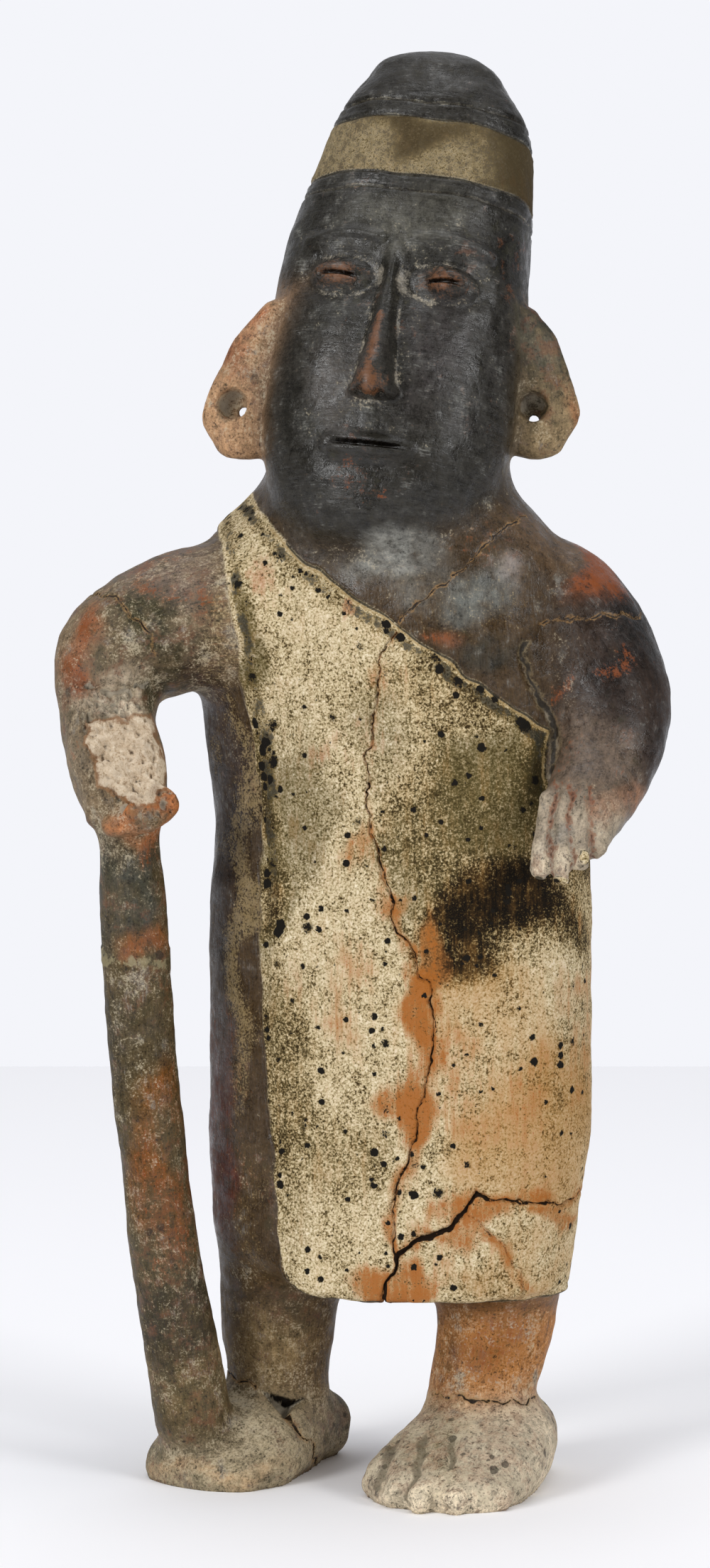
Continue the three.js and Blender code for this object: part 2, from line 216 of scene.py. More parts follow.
HEAD_PROFILE = np.array([
    # height up the head's own axis, half-width, half-depth, middle x, middle y
    [-14, 40, 34, 0, -9], [-4, 49, 42, 0, -8], [12, 56, 49, 0, -7], [32, 60.5, 52, -0.5, -7],
    [60, 63, 53, -1.5, -7], [90, 63.8, 52.5, -2, -7], [127, 60.3, 50, -2, -8.5],
    [150, 57.3, 47, -0.7, -10.5], [171, 54, 43, 1.0, -13], [193, 48.8, 38, 2.2, -15.5],
    [207, 43, 34, 2.4, -17], [219, 34, 27, 1.8, -18.5],
])
head_rings = HEAD_PROFILE[:, [3, 4, 0, 1, 2]]
HEAD_LIE = dict(normal=UP, in_head=True)

FORMS = {
    "body": (body_rings[1:], dict(power=2.2, domes=(26, 6), around=96, rows=90, **BODY_LIE)),
    "head": (head_rings, dict(power=HEAD_POWER, domes=(12, 15), around=80, rows=90, dome_rows=9, **HEAD_LIE)),
}
print("body", 2 * BODY_HALF_WIDTH, "mm wide, head", 2 * head_rings[:, 3].max(), "mm wide")

# %% Arms, staff, legs and feet
FORMS["right_arm"] = (
    [[-38, 9, 435, 37, 43], [-84, 7, 427.5, 35, 39.5], [-116, 1, 411, 32, 33], [-121.5, -12, 384, 23.7, 25],
     [-116.3, -27, 362, 24, 24], [-112.5, -36, 345, 22.7, 21], [-109.5, -39, 330, 17.3, 18]],
    dict(domes=(6, 6)),
)
FORMS["left_arm"] = (
    [[52, 8, 444, 36, 39], [97, 0, 432.5, 36, 37], [115.5, -11, 404, 35.7, 35], [123.3, -27, 379, 31, 30],
     [118, -50, 355, 24, 20], [108.3, -70, 338, 20, 14.5], [103.5, -79, 326, 17, 12]],
    dict(domes=(6, 6)),
)
FORMS["staff"] = (
    [[-110.2, -38, 338, 14.5, 14.5], [-109, -36, 310, 16.1, 16.1], [-106.8, -33, 260, 16.6, 16.6],
     [-102.3, -27, 198, 16.9, 16.9], [-97.8, -22, 148, 17, 17], [-91.4, -16, 100, 17.8, 17.8],
     [-83.8, -11, 55, 19.2, 19.2], [-80, -9, 26, 20, 20]],
    dict(domes=(4, 6), rows=70),
)
FORMS["right_leg"] = (
    [[-30, 18, 165, 34, 38], [-35, 23, 126, 33.5, 35], [-37.5, 29, 94, 31.5, 30], [-39, 32, 68, 29, 27.5],
     [-39, 33, 45, 26, 25.5], [-41, 30, 22, 28, 28]],
    dict(domes=(4, 6)),
)
FORMS["left_leg"] = (
    [[71, 0, 140, 31, 30], [71.5, 0, 92, 30.3, 30], [67.7, 0, 64, 27.7, 28], [62.5, -2, 42, 27, 27.5],
     [61, -6, 22, 30, 30]],
    dict(domes=(4, 6)),
)
FOOT_LIE = dict(reference=UP, power=2.3)
FORMS["right_foot"] = (
    [[-13, 56, 15, 16, 17], [-31, 42, 18, 26, 23], [-52, 19, 16, 37, 24], [-66, 1, 10, 41, 20],
     [-74, -10, 7, 37, 15]],
    dict(domes=(9, 21), **FOOT_LIE),
)
FORMS["left_foot"] = (
    [[84, 28, 14, 20, 17], [75, 10, 18.5, 29, 25], [61, -18, 17, 39, 25], [46.5, -44, 10, 42, 19],
     [41, -60, 6, 36, 14]],
    dict(domes=(9, 19), **FOOT_LIE),
)
shells = {name: skin(rings, **how) for name, (rings, how) in FORMS.items()}
print(len(shells), "large forms:", ", ".join(shells))

# %% [markdown]
# ## The mantle's outline
#
# The mantle is a cloth drawn in clay: it covers the right shoulder, leaves the left one bare, and opens
# along the right flank. Its edge is easiest to draw from the front, as one closed line in x and z. Every
# later step that needs the mantle asks how far a point lies inside that line.

# %% Outline of the mantle
def through(points, steps):
    """Points at equal steps of the curve through points."""
    return curve(points, np.linspace(0, 1, steps))


OPEN_SIDE = through([
    [-68.5, 474], [-60.5, 436], [-55, 395], [-49.5, 372], [-46.5, 342], [-46, 315], [-46, 262], [-44, 215],
    [-40, 168], [-37.3, 120],
], 60)
quarter = np.linspace(0, np.pi / 2, 9)[:, None]
CORNER = np.hstack([-15 - 21.5 * np.cos(quarter), HEM + 20 - 20 * np.sin(quarter)])
NECKLINE = through([
    [150, 345], [135, 352], [96, 377], [68, 396], [48, 410], [20, 430], [-8, 448], [-30, 465], [-48, 485],
], 60)
OUTLINE = np.vstack([[[-74, 500]], OPEN_SIDE, CORNER, [[150, HEM]], NECKLINE, [[-56, 500]]])
print("the outline has", len(OUTLINE), "points")


# %% Helpers: distance from a line, and how far inside it
def far(points, line, closed=False):
    """Distance of every point from a line of straight pieces, and how far along it the nearest place is.

    For each piece the point is dropped square onto it and held between its ends. The least distance wins.
    """
    starts = line if closed else line[:-1]
    ends = np.roll(line, -1, axis=0) if closed else line[1:]
    best = np.full(len(points), 1e9)
    place = np.zeros(len(points))
    for i, (a, b) in enumerate(zip(starts, ends)):
        t = np.clip((points - a) @ (b - a) / ((b - a) @ (b - a)), 0, 1)
        gap = np.linalg.norm(points - a - t[:, None] * (b - a), axis=1)
        nearer = gap < best
        best = np.where(nearer, gap, best)
        place = np.where(nearer, (i + t) / len(starts), place)
    return best, place


def inside_by(points, line):
    """Distance from a closed line, positive inside: a point is inside if a ray crosses the line an odd
    number of times."""
    odd = np.zeros(len(points), bool)
    for (x0, z0), (x1, z1) in zip(line, np.roll(line, -1, axis=0)):
        spans = (z0 > points[:, 1]) != (z1 > points[:, 1])
        rise = np.where(spans, z1 - z0, 1)
        odd ^= spans & (points[:, 0] < (x1 - x0) * (points[:, 1] - z0) / rise + x0)
    return far(points, line, closed=True)[0] * np.where(odd, 1, -1)


print("the chest lies", inside_by(np.array([[20.0, 300.0]]), OUTLINE).round(1), "mm inside the edge")

# %% [markdown]
# ## Joining the large forms
#
# Wet clay forms are luted: scored, pressed together and smoothed until no seam is left. A voxel remesh does
# the same to overlapping shells, because it keeps only the outside of them all. Its step of 3 mm is coarse
# on purpose, so that a few rounds of smoothing near the joins are enough to round them by a centimetre.
#
# The mantle hangs a little below the bare body, so its skirt is a shell of its own, cut to the outline.

# %% Helpers: an object from a shell, and its mesh after a modifier
def mesh_object(name, points, faces):
    """A Blender object from points and faces."""
    mesh = bpy.data.meshes.new(name)
    mesh.from_pydata(points, [], faces)
    mesh.validate()
    made = bpy.data.objects.new(name, mesh)
    bpy.context.scene.collection.objects.link(made)
    return made


def finished(made, **settings):
    """The object's mesh after one modifier with these settings, whose kind is settings["type"]."""
    modifier = made.modifiers.new("step", settings.pop("type"))
    for key, value in settings.items():
        setattr(modifier, key, value)
    graph = bpy.context.evaluated_depsgraph_get()
    mesh = bpy.data.meshes.new_from_object(made.evaluated_get(graph))
    made.modifiers.clear()
    made.data = mesh
    return made


print("a shell can be made an object")


# %% Helpers: a mesh's data as arrays
def read(items, field, kind=np.int32, width=1):
    """One field of all items, as an array with a row of this width for each."""
    flat = np.empty(len(items) * width, kind)
    items.foreach_get(field, flat)
    return flat.reshape(-1, width) if width > 1 else flat


def points_of(mesh):
    """All vertex places as rows of x, y, z."""
    return read(mesh.vertices, "co", np.float32, 3).astype(float)


def normals_of(mesh):
    """All vertex normals as rows."""
    return read(mesh.vertex_normals, "vector", np.float32, 3).astype(float)


def edges_of(mesh):
    """Pairs of vertex numbers."""
    return read(mesh.edges, "vertices", width=2)


def faces_of(mesh):
    """Faces as lists of vertex numbers."""
    corners, starts = read(mesh.loops, "vertex_index"), read(mesh.polygons, "loop_start")
    return [part.tolist() for part in np.split(corners, starts[1:])]


print("a mesh can be read back")


# %% Helpers: many shells as one, and cuts
def together(parts):
    """One list of points and one of faces from many shells."""
    points, faces, offset = [], [], 0
    for shell_points, shell_faces in parts:
        points.append(shell_points)
        faces += [[offset + v for v in face] for face in shell_faces]
        offset += len(shell_points)
    return np.vstack(points), faces


def cut(target, tool, operation):
    """The target shell after a boolean with the tool shell."""
    a, b = mesh_object("target", *target), mesh_object("tool", *tool)
    finished(a, type="BOOLEAN", object=b, operation=operation, solver="EXACT")
    result = points_of(a.data), faces_of(a.data)
    bpy.data.objects.remove(a)
    bpy.data.objects.remove(b)
    return result


print("shells can be joined and cut")

# %% Skirt of the mantle
skirt = skin(body_rings, power=2.2, domes=(1, 6), around=96, rows=90, **BODY_LIE)
inner = OUTLINE[OUTLINE[:, 1] < 300]
front = np.insert(inner, 1, -150, axis=1)
rear = np.insert(inner, 1, 150, axis=1)
n = len(inner)
ring = np.arange(n)
sides = np.stack([ring, (ring + 1) % n, (ring + 1) % n + n, ring + n], -1).tolist()
prism = np.vstack([front, rear]), [*sides, ring[::-1].tolist(), (ring + n).tolist()]
shells["skirt"] = cut(skirt, prism, "INTERSECT")
print("skirt reaches down to z =", shells["skirt"][0][:, 2].min().round(1))

# %% Helper: smoothing where it is asked for
def smooth(points, edges, share, rounds):
    """Moves every point by its share of the way to the mean of its neighbours, several times over."""
    near = np.bincount(edges.ravel(), minlength=len(points))[:, None]
    for _ in range(rounds):
        nearby = np.stack([
            np.bincount(edges[:, 0], points[edges[:, 1], k], len(points))
            + np.bincount(edges[:, 1], points[edges[:, 0], k], len(points))
            for k in range(3)
        ], 1)
        points = points + share[:, None] * (nearby / np.maximum(near, 1) - points)
    return points


def step(low, high, value):
    """0 below low, 1 above high, and an S-shaped rise between them."""
    t = np.clip((value - low) / (high - low), 0, 1)
    return t * t * (3 - 2 * t)


print("a quarter of the way up, the step is at", round(float(step(0, 1, 0.25)), 2))

# %% Helper: where a point lies on each form
PLACES = 72  # on each form's spine


def measure(points, name):
    """Gap from a form's surface, length along it, and both offsets across it, for every point.

    The nearest of many places on the spine is found, and the point is written in that place's own three
    directions. The gap is how much the point's oval exceeds the form's, times the smaller half-size.
    """
    rings, how = FORMS[name]
    lie = {key: how[key] for key in ("reference", "normal", "in_head") if key in how}
    middle, along, wide, deep, sizes = spine(rings, np.linspace(0, 1, PLACES), **lie)
    length = np.concatenate([[0], np.linalg.norm(np.diff(middle, axis=0), axis=1).cumsum()])
    away = (points**2).sum(1)[:, None] - 2 * points @ middle.T + (middle**2).sum(1)
    i = away.argmin(1)
    from_middle = points - middle[i]
    run = (from_middle * along[i]).sum(1)
    across = np.stack([(from_middle * wide[i]).sum(1), (from_middle * deep[i]).sum(1)], 1)
    power = how.get("power", 2.0)
    oval = (np.abs(across / sizes[i]) ** power).sum(1) ** (1 / power)
    beyond = np.where(i == 0, -run - how["domes"][0], np.where(i == PLACES - 1, run - how["domes"][1], -99))
    gap = np.maximum((oval - 1) * sizes[i].min(1), beyond)
    return gap, length[i] + run, across


def second_gap(points):
    """Gap to the second nearest form, which is small near a join."""
    order = np.sort(np.stack([measure(points, name)[0] for name in FORMS], 1), axis=1)
    return order[:, 1] - np.minimum(order[:, 0], 0)


print("forms:", list(FORMS))

# %% Lute the large forms
LUTED_FACE, FINE_FACE = 3.0, 1.4  # widths in mm
luted = mesh_object("luted", *together([shells[name] for name in shells]))
finished(luted, type="REMESH", mode="VOXEL", voxel_size=LUTED_FACE)
points = points_of(luted.data)
joint = 1 - step(4, 22, second_gap(points))
armpit = np.linalg.norm((points - [92, -44, 395]) / [16, 30, 38], axis=1)
joint *= 1 - 0.85 * step(1.3, 0.8, armpit)
points = smooth(points, edges_of(luted.data), 0.03 + 0.6 * joint, 12)
print("luted:", len(points), "points;", int((joint > 0.5).sum()), "of them near a join")

# %% [markdown]
# ## Small forms
#
# Ears, nose, lids, brows and lips are pellets and coils pressed on afterwards, and so are fingers and toes.
# The ears are pierced by a funnel from the front, with a narrow throat out of the back.
#
# The face is laid out on the usual canon: eyes half way up the head, nose base half way from eyes to chin,
# mouth a third of the way from nose to chin, and a head five eyes wide.

# %% Ears
EARS = {
    # x and z of the flap's middle, and its half-width
    "right": [[-36, 583, 9], [-44, 569, 13.5], [-49, 554, 17], [-54, 540, 19], [-56, 527, 19.5],
              [-54, 514, 14]],
    "left": [[82, 579, 8], [85, 568, 14], [87, 556, 16.5], [90, 542, 18.5], [91, 528, 19.5], [88, 514, 14]],
}
# Middle of each hole, and how far its throat lies to the side of it and below it
HOLES = {"right": (-60, 535, 6.0, -4.5), "left": (87, 534, 1.2, -7.5)}
EAR_LIE = dict(domes=(4, 6), power=2.3, normal=-UP)
EAR_FORMS = {
    side + "_ear": ([[x, -4.5, z, wide, 7.5] for x, z, wide in flap], EAR_LIE) for side, flap in EARS.items()
}
for side in EARS:
    rings, how = EAR_FORMS[side + "_ear"]
    ear = skin(rings, around=32, rows=24, **how)
    x, z, aside, below = HOLES[side]
    through_back = dict(around=24, rows=20, dome_rows=3, reference=UP, normal=BACK)
    funnel = skin([[x, -17, z, 10, 10], [x, -12, z, 8, 8], [x, -7, z, 7, 7], [x, -3, z, 6, 6]],
                  domes=(1, 3), **through_back)
    a, c = x + aside, z + below
    throat = skin([[a, -8, c, 2.6, 2.6], [a, 12, c, 2.6, 2.6]], domes=(1, 1), **through_back)
    shells[side + "_ear"] = cut(cut(ear, funnel, "DIFFERENCE"), throat, "DIFFERENCE")
print("ears are pierced")

# %% Face laid out on the canon
CHIN, CROWN, HEAD_HALF_WIDTH, FACE = -20, 233, 65, -60
EYE_LINE = (CHIN + CROWN) / 2
NOSE_BASE = (EYE_LINE + CHIN) / 2
MOUTH_LINE = NOSE_BASE - (NOSE_BASE - CHIN) / 3
EYE_WIDTH = 2 * HEAD_HALF_WIDTH / 5
BROW_LINE = EYE_LINE + 0.7 * EYE_WIDTH


def face_y(x, s):
    """Front of the head at x and height s: half-depth times the head's oval, in front of its middle."""
    wide, deep, y = [np.interp(s, HEAD_PROFILE[:, 0], HEAD_PROFILE[:, k]) for k in (1, 2, 4)]
    return y - deep * (1 - np.minimum(1, np.abs(x) / wide) ** HEAD_POWER) ** (1 / HEAD_POWER)


print("eye line", EYE_LINE, "nose base", NOSE_BASE, "mouth line", round(MOUTH_LINE, 1))


# %% Nose, lids, brows and lips
def lens(x, s, half_width, half_height, half_depth, y):
    """A pellet: rings along x whose sizes follow half a circle."""
    u = np.linspace(-0.96, 0.96, 9)
    w = np.sqrt(1 - u * u)
    rings = np.stack([x + u * half_width, y + 0 * u, s + 0 * u, half_height * w, half_depth * w], 1)
    return skin(rings, domes=(0.6, 0.6), around=24, rows=24, dome_rows=2, in_head=True)


small = dict(around=20, rows=20, dome_rows=4)
bridge = BROW_LINE - 4
shells["nose"] = skin(
    [[0, FACE + 4, bridge, 4, 5], [0, FACE + 1, (bridge + NOSE_BASE) / 2, 6.5, 9],
     [0, FACE - 2, NOSE_BASE + 12, 9, 14], [0, FACE - 1, NOSE_BASE + 4, EYE_WIDTH / 2, 14]],
    domes=(5, 3), in_head=True, around=32, rows=30, dome_rows=4,
)
for sign in (-1, 1):
    x = sign * EYE_WIDTH
    shells[f"lid{sign}"] = lens(x, EYE_LINE, EYE_WIDTH / 2, 7, 5.5, face_y(x, EYE_LINE) + 0.2)
    share = np.array([0.35, 0.8, 1.3, 1.75])
    bx = sign * share * EYE_WIDTH
    bs = BROW_LINE + 5 * np.sin(np.pi * share / 2) - 1.5 * share
    brow = np.stack([bx, face_y(bx, bs) - 0.2, bs, 0 * bx + 2.6, 0 * bx + 2.6], 1)
    shells[f"brow{sign}"] = skin(brow, domes=(3, 3), in_head=True, **small)
MOUTH_HALF = 0.75 * EYE_WIDTH
shells["lips"] = lens(0, MOUTH_LINE, MOUTH_HALF + 4, 6.5, 5.5, face_y(0, MOUTH_LINE) + 0.8)
print("lips are", 2 * (MOUTH_HALF + 4), "mm wide")

# %% Fingers, stubs and toes
FINGERS = [
    # knuckle and tip
    [(93, -72, 347), (89, -87, 314)], [(102, -76, 347), (98.5, -92, 311)],
    [(111, -76, 346), (108, -91, 318)], [(119.5, -71, 342), (116, -83, 324)],
]
for i, ends in enumerate(FINGERS):
    shells[f"finger{i}"] = skin([[*end, 5.2, 5.5] for end in ends], domes=(4, 5), **small)
shells["thumb_stub"] = skin([[-118, -54, 332, 6, 6], [-101, -55, 336, 7.5, 7.5], [-92, -47, 343, 8.5, 9]],
                            domes=(5, 5), **small)
shells["finger_stub"] = skin([[-125, -48, 344, 6, 6], [-126, -43, 335, 5.5, 5.5]], domes=(5, 5), **small)
FORWARD, ACROSS = np.array([-0.42, -0.91, 0]), np.array([0.91, -0.42, 0])
for k in range(-2, 3):
    toe = np.array([43, -52, 6]) + ACROSS * 16.5 * k + FORWARD * (29 - 5.5 * k * k)
    knuckle = np.array([57, -26, 30 - 2.5 * k * k]) + ACROSS * 11 * k - FORWARD * 2 * k * k
    rings = [[*knuckle, 5, 5], [*toe, 7, 7]]
    shells[f"toe{k}"] = skin(rings, domes=(4, 6), reference=UP, **small)
pressed_on = [name for name in shells if name not in FORMS and name != "skirt"]
print(len(pressed_on), "small forms pressed on")

# %% [markdown]
# ## One skin over everything
#
# A second remesh at 1.4 mm takes in the small forms, and a lighter smoothing presses their edges down.
# Where thin lines will run, the mesh is divided again, so that a crack a millimetre wide has faces of its
# own size. Selecting those edges by a distance, and dividing only them, keeps the rest of the mesh light.

# %% Second remesh and light smoothing
parts = [(points, faces_of(luted.data))] + [shells[name] for name in pressed_on]
figure = mesh_object("terracotta_figure", *together(parts))
bpy.data.objects.remove(luted)
finished(figure, type="REMESH", mode="VOXEL", voxel_size=FINE_FACE)
points = points_of(figure.data)
x, y, s = head_place(points).T
on_face = step(-30, -45, y) * (np.abs(x) < 50) * (s > -10)
on_hand = np.linalg.norm((points - [105, -82, 328]) / [28, 24, 28], axis=1) < 1
points = smooth(points, edges_of(figure.data), 0.5 - 0.33 * on_face - 0.25 * on_hand, 7)
print("figure:", len(points), "points")

# %% [markdown]
# ## Lines that run over the surface
#
# The clay cracked in firing and under its own weight, and broken limbs were mended long ago. Each line is
# given by a few places on the front. A point's distance from a line is taken as seen from the front, and
# only near the line's own depth, so that nothing shows through on the back.

# %% Cracks and mends
CRACKS = {
    # half-width, then places on it
    "long crack": (0.25, [
        (20, -54, 426), (12, -52, 411), (12, -51, 401), (10, -50, 388), (7, -48, 371), (5, -47, 361),
        (7, -48, 352), (7, -47, 341), (8, -48, 328), (13, -50, 314), (15, -51, 302), (19, -52, 296),
        (18, -53, 289), (22, -54, 279), (30, -55, 270), (31, -55, 258), (35, -56, 255), (39, -56, 230),
        (36, -56, 215), (34, -55, 202), (30, -54, 188), (30, -54, 179), (22, -52, 159), (18, -51, 145),
        (19, -51, 134), (19, -50, 124), (21, -50, 121),
    ]),
    "split in the hem": (0.7, [(21, -50, 121), (18, -49, 112), (15, -48, 105), (14, -47, 92)]),
    "dark branch": (1.0, [
        (21, -50, 121), (27, -51, 126), (33, -53, 130), (45, -54, 134), (49, -55, 139), (54, -55, 145),
        (59, -55, 152),
    ]),
    "dark branch's end": (0.35, [
        (59, -55, 152), (68, -53, 149), (92, -43, 146), (103, -32, 144), (112, -14, 147),
    ]),
    "hairline": (0.0, [(54, -55, 143), (65, -52, 133), (74, -49, 122), (80, -45, 111), (82, -43, 96)]),
}
MENDS = {
    "neck": (0.25, [
        (21, -50, 431), (26, -51, 436), (38, -52, 445), (46, -51, 451), (52, -50, 456), (59, -47, 463),
        (66, -42, 471), (73, -34, 476), (83, -18, 481),
    ]),
    "right shoulder": (0.2, [(-143, 0, 441), (-126, -5, 442), (-117, -19, 440), (-109, -27, 433),
                             (-100, -30, 424), (-97, -28, 413)]),
    "left shoulder": (0.15, [(90, -43, 429), (104, -33, 431), (124, -27, 433), (140, -14, 431)]),
    "left ankle": (0.3, [(40, -16, 44), (49, -25, 48), (54, -27, 46), (64, -30, 43), (78, -26, 44),
                         (83, -21, 41), (89, -12, 43)]),
    "right ankle": (0.3, [(-66, 26, 49), (-63, 24, 47), (-57, 15, 45), (-49, 9, 43)]),
    "right instep": (0.3, [(-35, -5, 32), (-21, 1, 17), (-20, 20, 2)]),
}
print(len(CRACKS), "cracks and", len(MENDS), "mends")

# %% Pit, break and grooves
# Corners of the pit at the right ankle and of the break at the wrist, as x and z
PIT = np.array([(-47, 42), (-29, 37.5), (-24, 38), (-35, 31.5), (-39, 35)])
FRACTURE = np.array([
    (-127, 381), (-110, 382), (-100, 383), (-97, 372), (-92, 360), (-93, 352), (-94, 348), (-99, 343),
    (-105, 341), (-110, 345), (-116, 348), (-123, 352), (-124, 359), (-127, 367), (-132, 371),
])
GROOVES = {
    # half-width of the bell, depth, places
    "armpit": (2.2, 2.2, [(83, -48, 420), (81, -49, 415), (82, -49, 408), (85, -48, 401),
                          (89, -46, 393), (93, -44, 387), (96, -42, 380), (97, -43, 368), (95, -46, 356)]),
    "first finger": (1.5, 1.8, [(97, -74, 352), (94, -84, 340), (93, -89, 326), (93, -92, 309)]),
    "second finger": (1.5, 1.8, [(104, -76, 352), (102, -84, 340), (103, -90, 326), (104, -92, 309)]),
    "third finger": (1.5, 1.8, [(113, -76, 352), (112, -80, 340), (113, -87, 328), (114, -86, 313)]),
    "first toe": (2.0, 1.6, [(20, -42, 27), (15, -52, 18), (11, -62, 8)]),
    "second toe": (2.0, 1.6, [(34, -41, 28), (30, -56, 17), (27, -70, 6)]),
    "third toe": (2.0, 1.6, [(48, -42, 28), (46, -58, 16), (44, -74, 4)]),
    "fourth toe": (2.0, 1.6, [(61, -38, 26), (61, -52, 16), (61, -66, 5)]),
}
print("the break is", np.ptp(FRACTURE, axis=0), "mm;", len(GROOVES), "grooves")


# %% Helper: distance from many lines
def line_gap(points, lines):
    """Distance from the nearest line's edge, in mm: the distance in x and z, less the line's half-width,
    plus twice what the point lies deeper or shallower than the line by more than 12 mm."""
    best = np.full(len(points), 99.0)
    for half_width, line in lines.values():
        line = np.array(line, float)
        gap, place = far(points[:, [0, 2]], line[:, [0, 2]])
        depth = np.interp(place * (len(line) - 1), np.arange(len(line)), line[:, 1])
        off = np.maximum(np.abs(points[:, 1] - depth) - 12, 0)
        best = np.minimum(best, gap - half_width + 2 * off)
    return best


print("the chest's middle is", line_gap(np.array([[0, -50, 300.0]]), CRACKS).round(1), "mm from a crack")


# %% Helpers: random heights, and lines that waver
def wander(points, size, seed, waves=24):
    """A smooth random height of about -2 to 2: the mean of many sine waves of about this size, in random
    directions."""
    chance = np.random.default_rng(seed)
    ways = chance.normal(size=(waves, 3))
    lengths = size / (2 * np.pi) * chance.uniform(0.7, 1.5, (waves, 1))
    ways /= np.linalg.norm(ways, axis=1)[:, None] * lengths
    return np.sin(points @ ways.T + chance.uniform(0, 2 * np.pi, waves)).sum(1) / np.sqrt(waves / 2)


def ragged(points, amount, size, seed):
    """The points moved about at random by roughly this amount, so that a line drawn with them wavers."""
    return points + amount * np.stack([wander(points, size, seed + k) for k in range(3)], 1)


def wavering(points):
    """The points moved so that a straight line wavers by half a millimetre, as a crack does."""
    return ragged(ragged(points, 0.7, 12, 5), 0.25, 3.5, 9)


print("a wavering point:", wavering(np.array([[0, 0, 300.0]])).round(2))

# %% Helper: how near something thin is
BAND_LINES = (152, 160, 190, 199)  # heights up the head
BAND_FLOOR = 560  # no line of the headband lies below this height
FINE_WITHIN = 2.2  # nearer than this to something thin, in mm, the faces are divided
FAR = 99  # added to a distance where a thing isn't wanted


def put(mesh, points):
    """Sets all vertex places."""
    mesh.vertices.foreach_set("co", points.astype(np.float32).ravel())
    mesh.update()


def fine_places(points):
    """How near each point is to something thin, in mm."""
    x, y, s = head_place(points).T
    band = np.abs(s[:, None] - BAND_LINES).min(1) + FAR * (points[:, 2] < BAND_FLOOR)
    edge = np.abs(inside_by(points[:, [0, 2]], OUTLINE)) + FAR * (points[:, 2] < 90)
    eyes = np.abs(s - EYE_LINE) - 1 + 0.8 * np.maximum(np.abs(np.abs(x) - EYE_WIDTH) - 9, 0)
    lips = np.abs(s - MOUTH_LINE) - 1 + 0.8 * np.maximum(np.abs(x) - 20, 0)
    face = np.minimum(eyes, lips) + FAR * (y > -30)
    lines = [line_gap(points, CRACKS), line_gap(points, MENDS) + 1]
    return np.minimum.reduce([*lines, band + 0.5, edge - 1, face])


near_line = fine_places(points) < FINE_WITHIN
print(int(near_line.sum()), "points are near something thin")

# %% Divide the mesh along the lines
put(figure.data, points)
edges = edges_of(figure.data)
for other in bpy.context.selected_objects:
    other.select_set(False)
figure.select_set(True)
bpy.context.view_layer.objects.active = figure
figure.data.polygons.foreach_set("select", np.zeros(len(figure.data.polygons), bool))
figure.data.vertices.foreach_set("select", near_line)
figure.data.edges.foreach_set("select", near_line[edges].all(1))
bpy.context.tool_settings.mesh_select_mode = (False, True, False)
bpy.ops.object.mode_set(mode="EDIT")
bpy.ops.mesh.subdivide(number_cuts=1)
bpy.ops.object.mode_set(mode="OBJECT")
points = points_of(figure.data)
print("divided:", len(points), "points")

# %% [markdown]
# ## Relief
#
# Every raised or sunk detail is a height in millimetres at each point, worked out for the whole surface at
# once and added along the surface's own normal: the mantle stands 3 mm proud, incised lines are a
# millimetre deep, and slow waves of a few tenths keep any surface from looking turned on a lathe.

# %% Where each point belongs
FORMS |= EAR_FORMS
FORMS["left_hand"] = ([[108, -73, 345, 20, 9], [101, -86, 318, 16, 8]], dict(domes=(4, 9)))


def belonging(points):
    """Gap to every form's surface as one column per form, and each form's own coordinates."""
    found = {name: measure(points, name) for name in FORMS}
    return {name: value[0] for name, value in found.items()}, found


def mantle_depth(points, gaps):
    """How far inside the mantle's wavering edge a point lies: the distance inside the outline, but never
    more than the distance from the left arm, because that lies over it."""
    over = np.minimum(gaps["left_arm"], gaps["left_hand"])
    inside = inside_by(ragged(points, 0.6, 16, 3)[:, [0, 2]], OUTLINE)
    return np.minimum(inside, over * 1.2 - 2.5)


def band_height(points):
    """Height up the head, for lines that waver by a few tenths of a millimetre."""
    return head_place(ragged(points, 0.35, 22, 6))[:, 2]


def repair_gap(x, z):
    """Distance outside the band of filler round the staff, which slopes a little."""
    return np.abs(z - 265 + 0.04 * (x + 106)) - 4.5


gaps, _ = belonging(points)
print("mantle covers", round(100 * float((mantle_depth(points, gaps) > 0).mean())), "% of the points")

# %% Helper: a bell-shaped groove
def groove(gap, half_width):
    """1 in the middle of a groove and falling to 0 like a bell: e to the power of minus (gap / width)
    squared."""
    return np.exp(-((gap / half_width) ** 2))


print("a groove falls to", groove(1.0, 1.0).round(2), "at its half-width")

# %% Add the relief
MANTLE_THICK, CRACK_DEEP, MEND_DEEP, BAND_DEEP, REPAIR_THICK, PIT_DEEP = 3.0, 1.8, 0.7, 1.1, 0.5, 11
# Height, place inside the mantle's edge and half-width of its rolled rim and of the dents beside it
RIM = ((0.45, 1.5, 1.3), (-0.7, -0.6, 0.7), (-0.4, 4.4, 0.8))
normals = normals_of(figure.data)
mantle = mantle_depth(points, gaps)
sideways = (1 - step(0.25, 0.75, -normals[:, 2])) * step(490, 462, points[:, 2])
low = step(250, 120, points[:, 2])
relief = MANTLE_THICK * (low * step(-1.0, 2.0, mantle) + (1 - low) * step(-4, 9, mantle)) * sideways
for height, middle, width in RIM:
    relief += height * groove(mantle - middle, width) * sideways
relief += 0.30 * wander(points, 42, 11) + 0.14 * wander(points, 15, 12) + 0.05 * wander(points, 5, 13)
on_head = (gaps["head"] < 4) & (points[:, 2] > BAND_FLOOR)
band = band_height(points)
for at in BAND_LINES:
    relief -= on_head * (BAND_DEEP * groove(band - at, 0.9) - 0.25 * groove(np.abs(band - at) - 2.2, 1.0))
wavy = wavering(points)
crack, mend = line_gap(wavy, CRACKS), line_gap(wavy, MENDS)
relief -= CRACK_DEEP * (1 - step(-0.3, 0.5, crack)) - 0.25 * groove(crack - 1.5, 1.0)
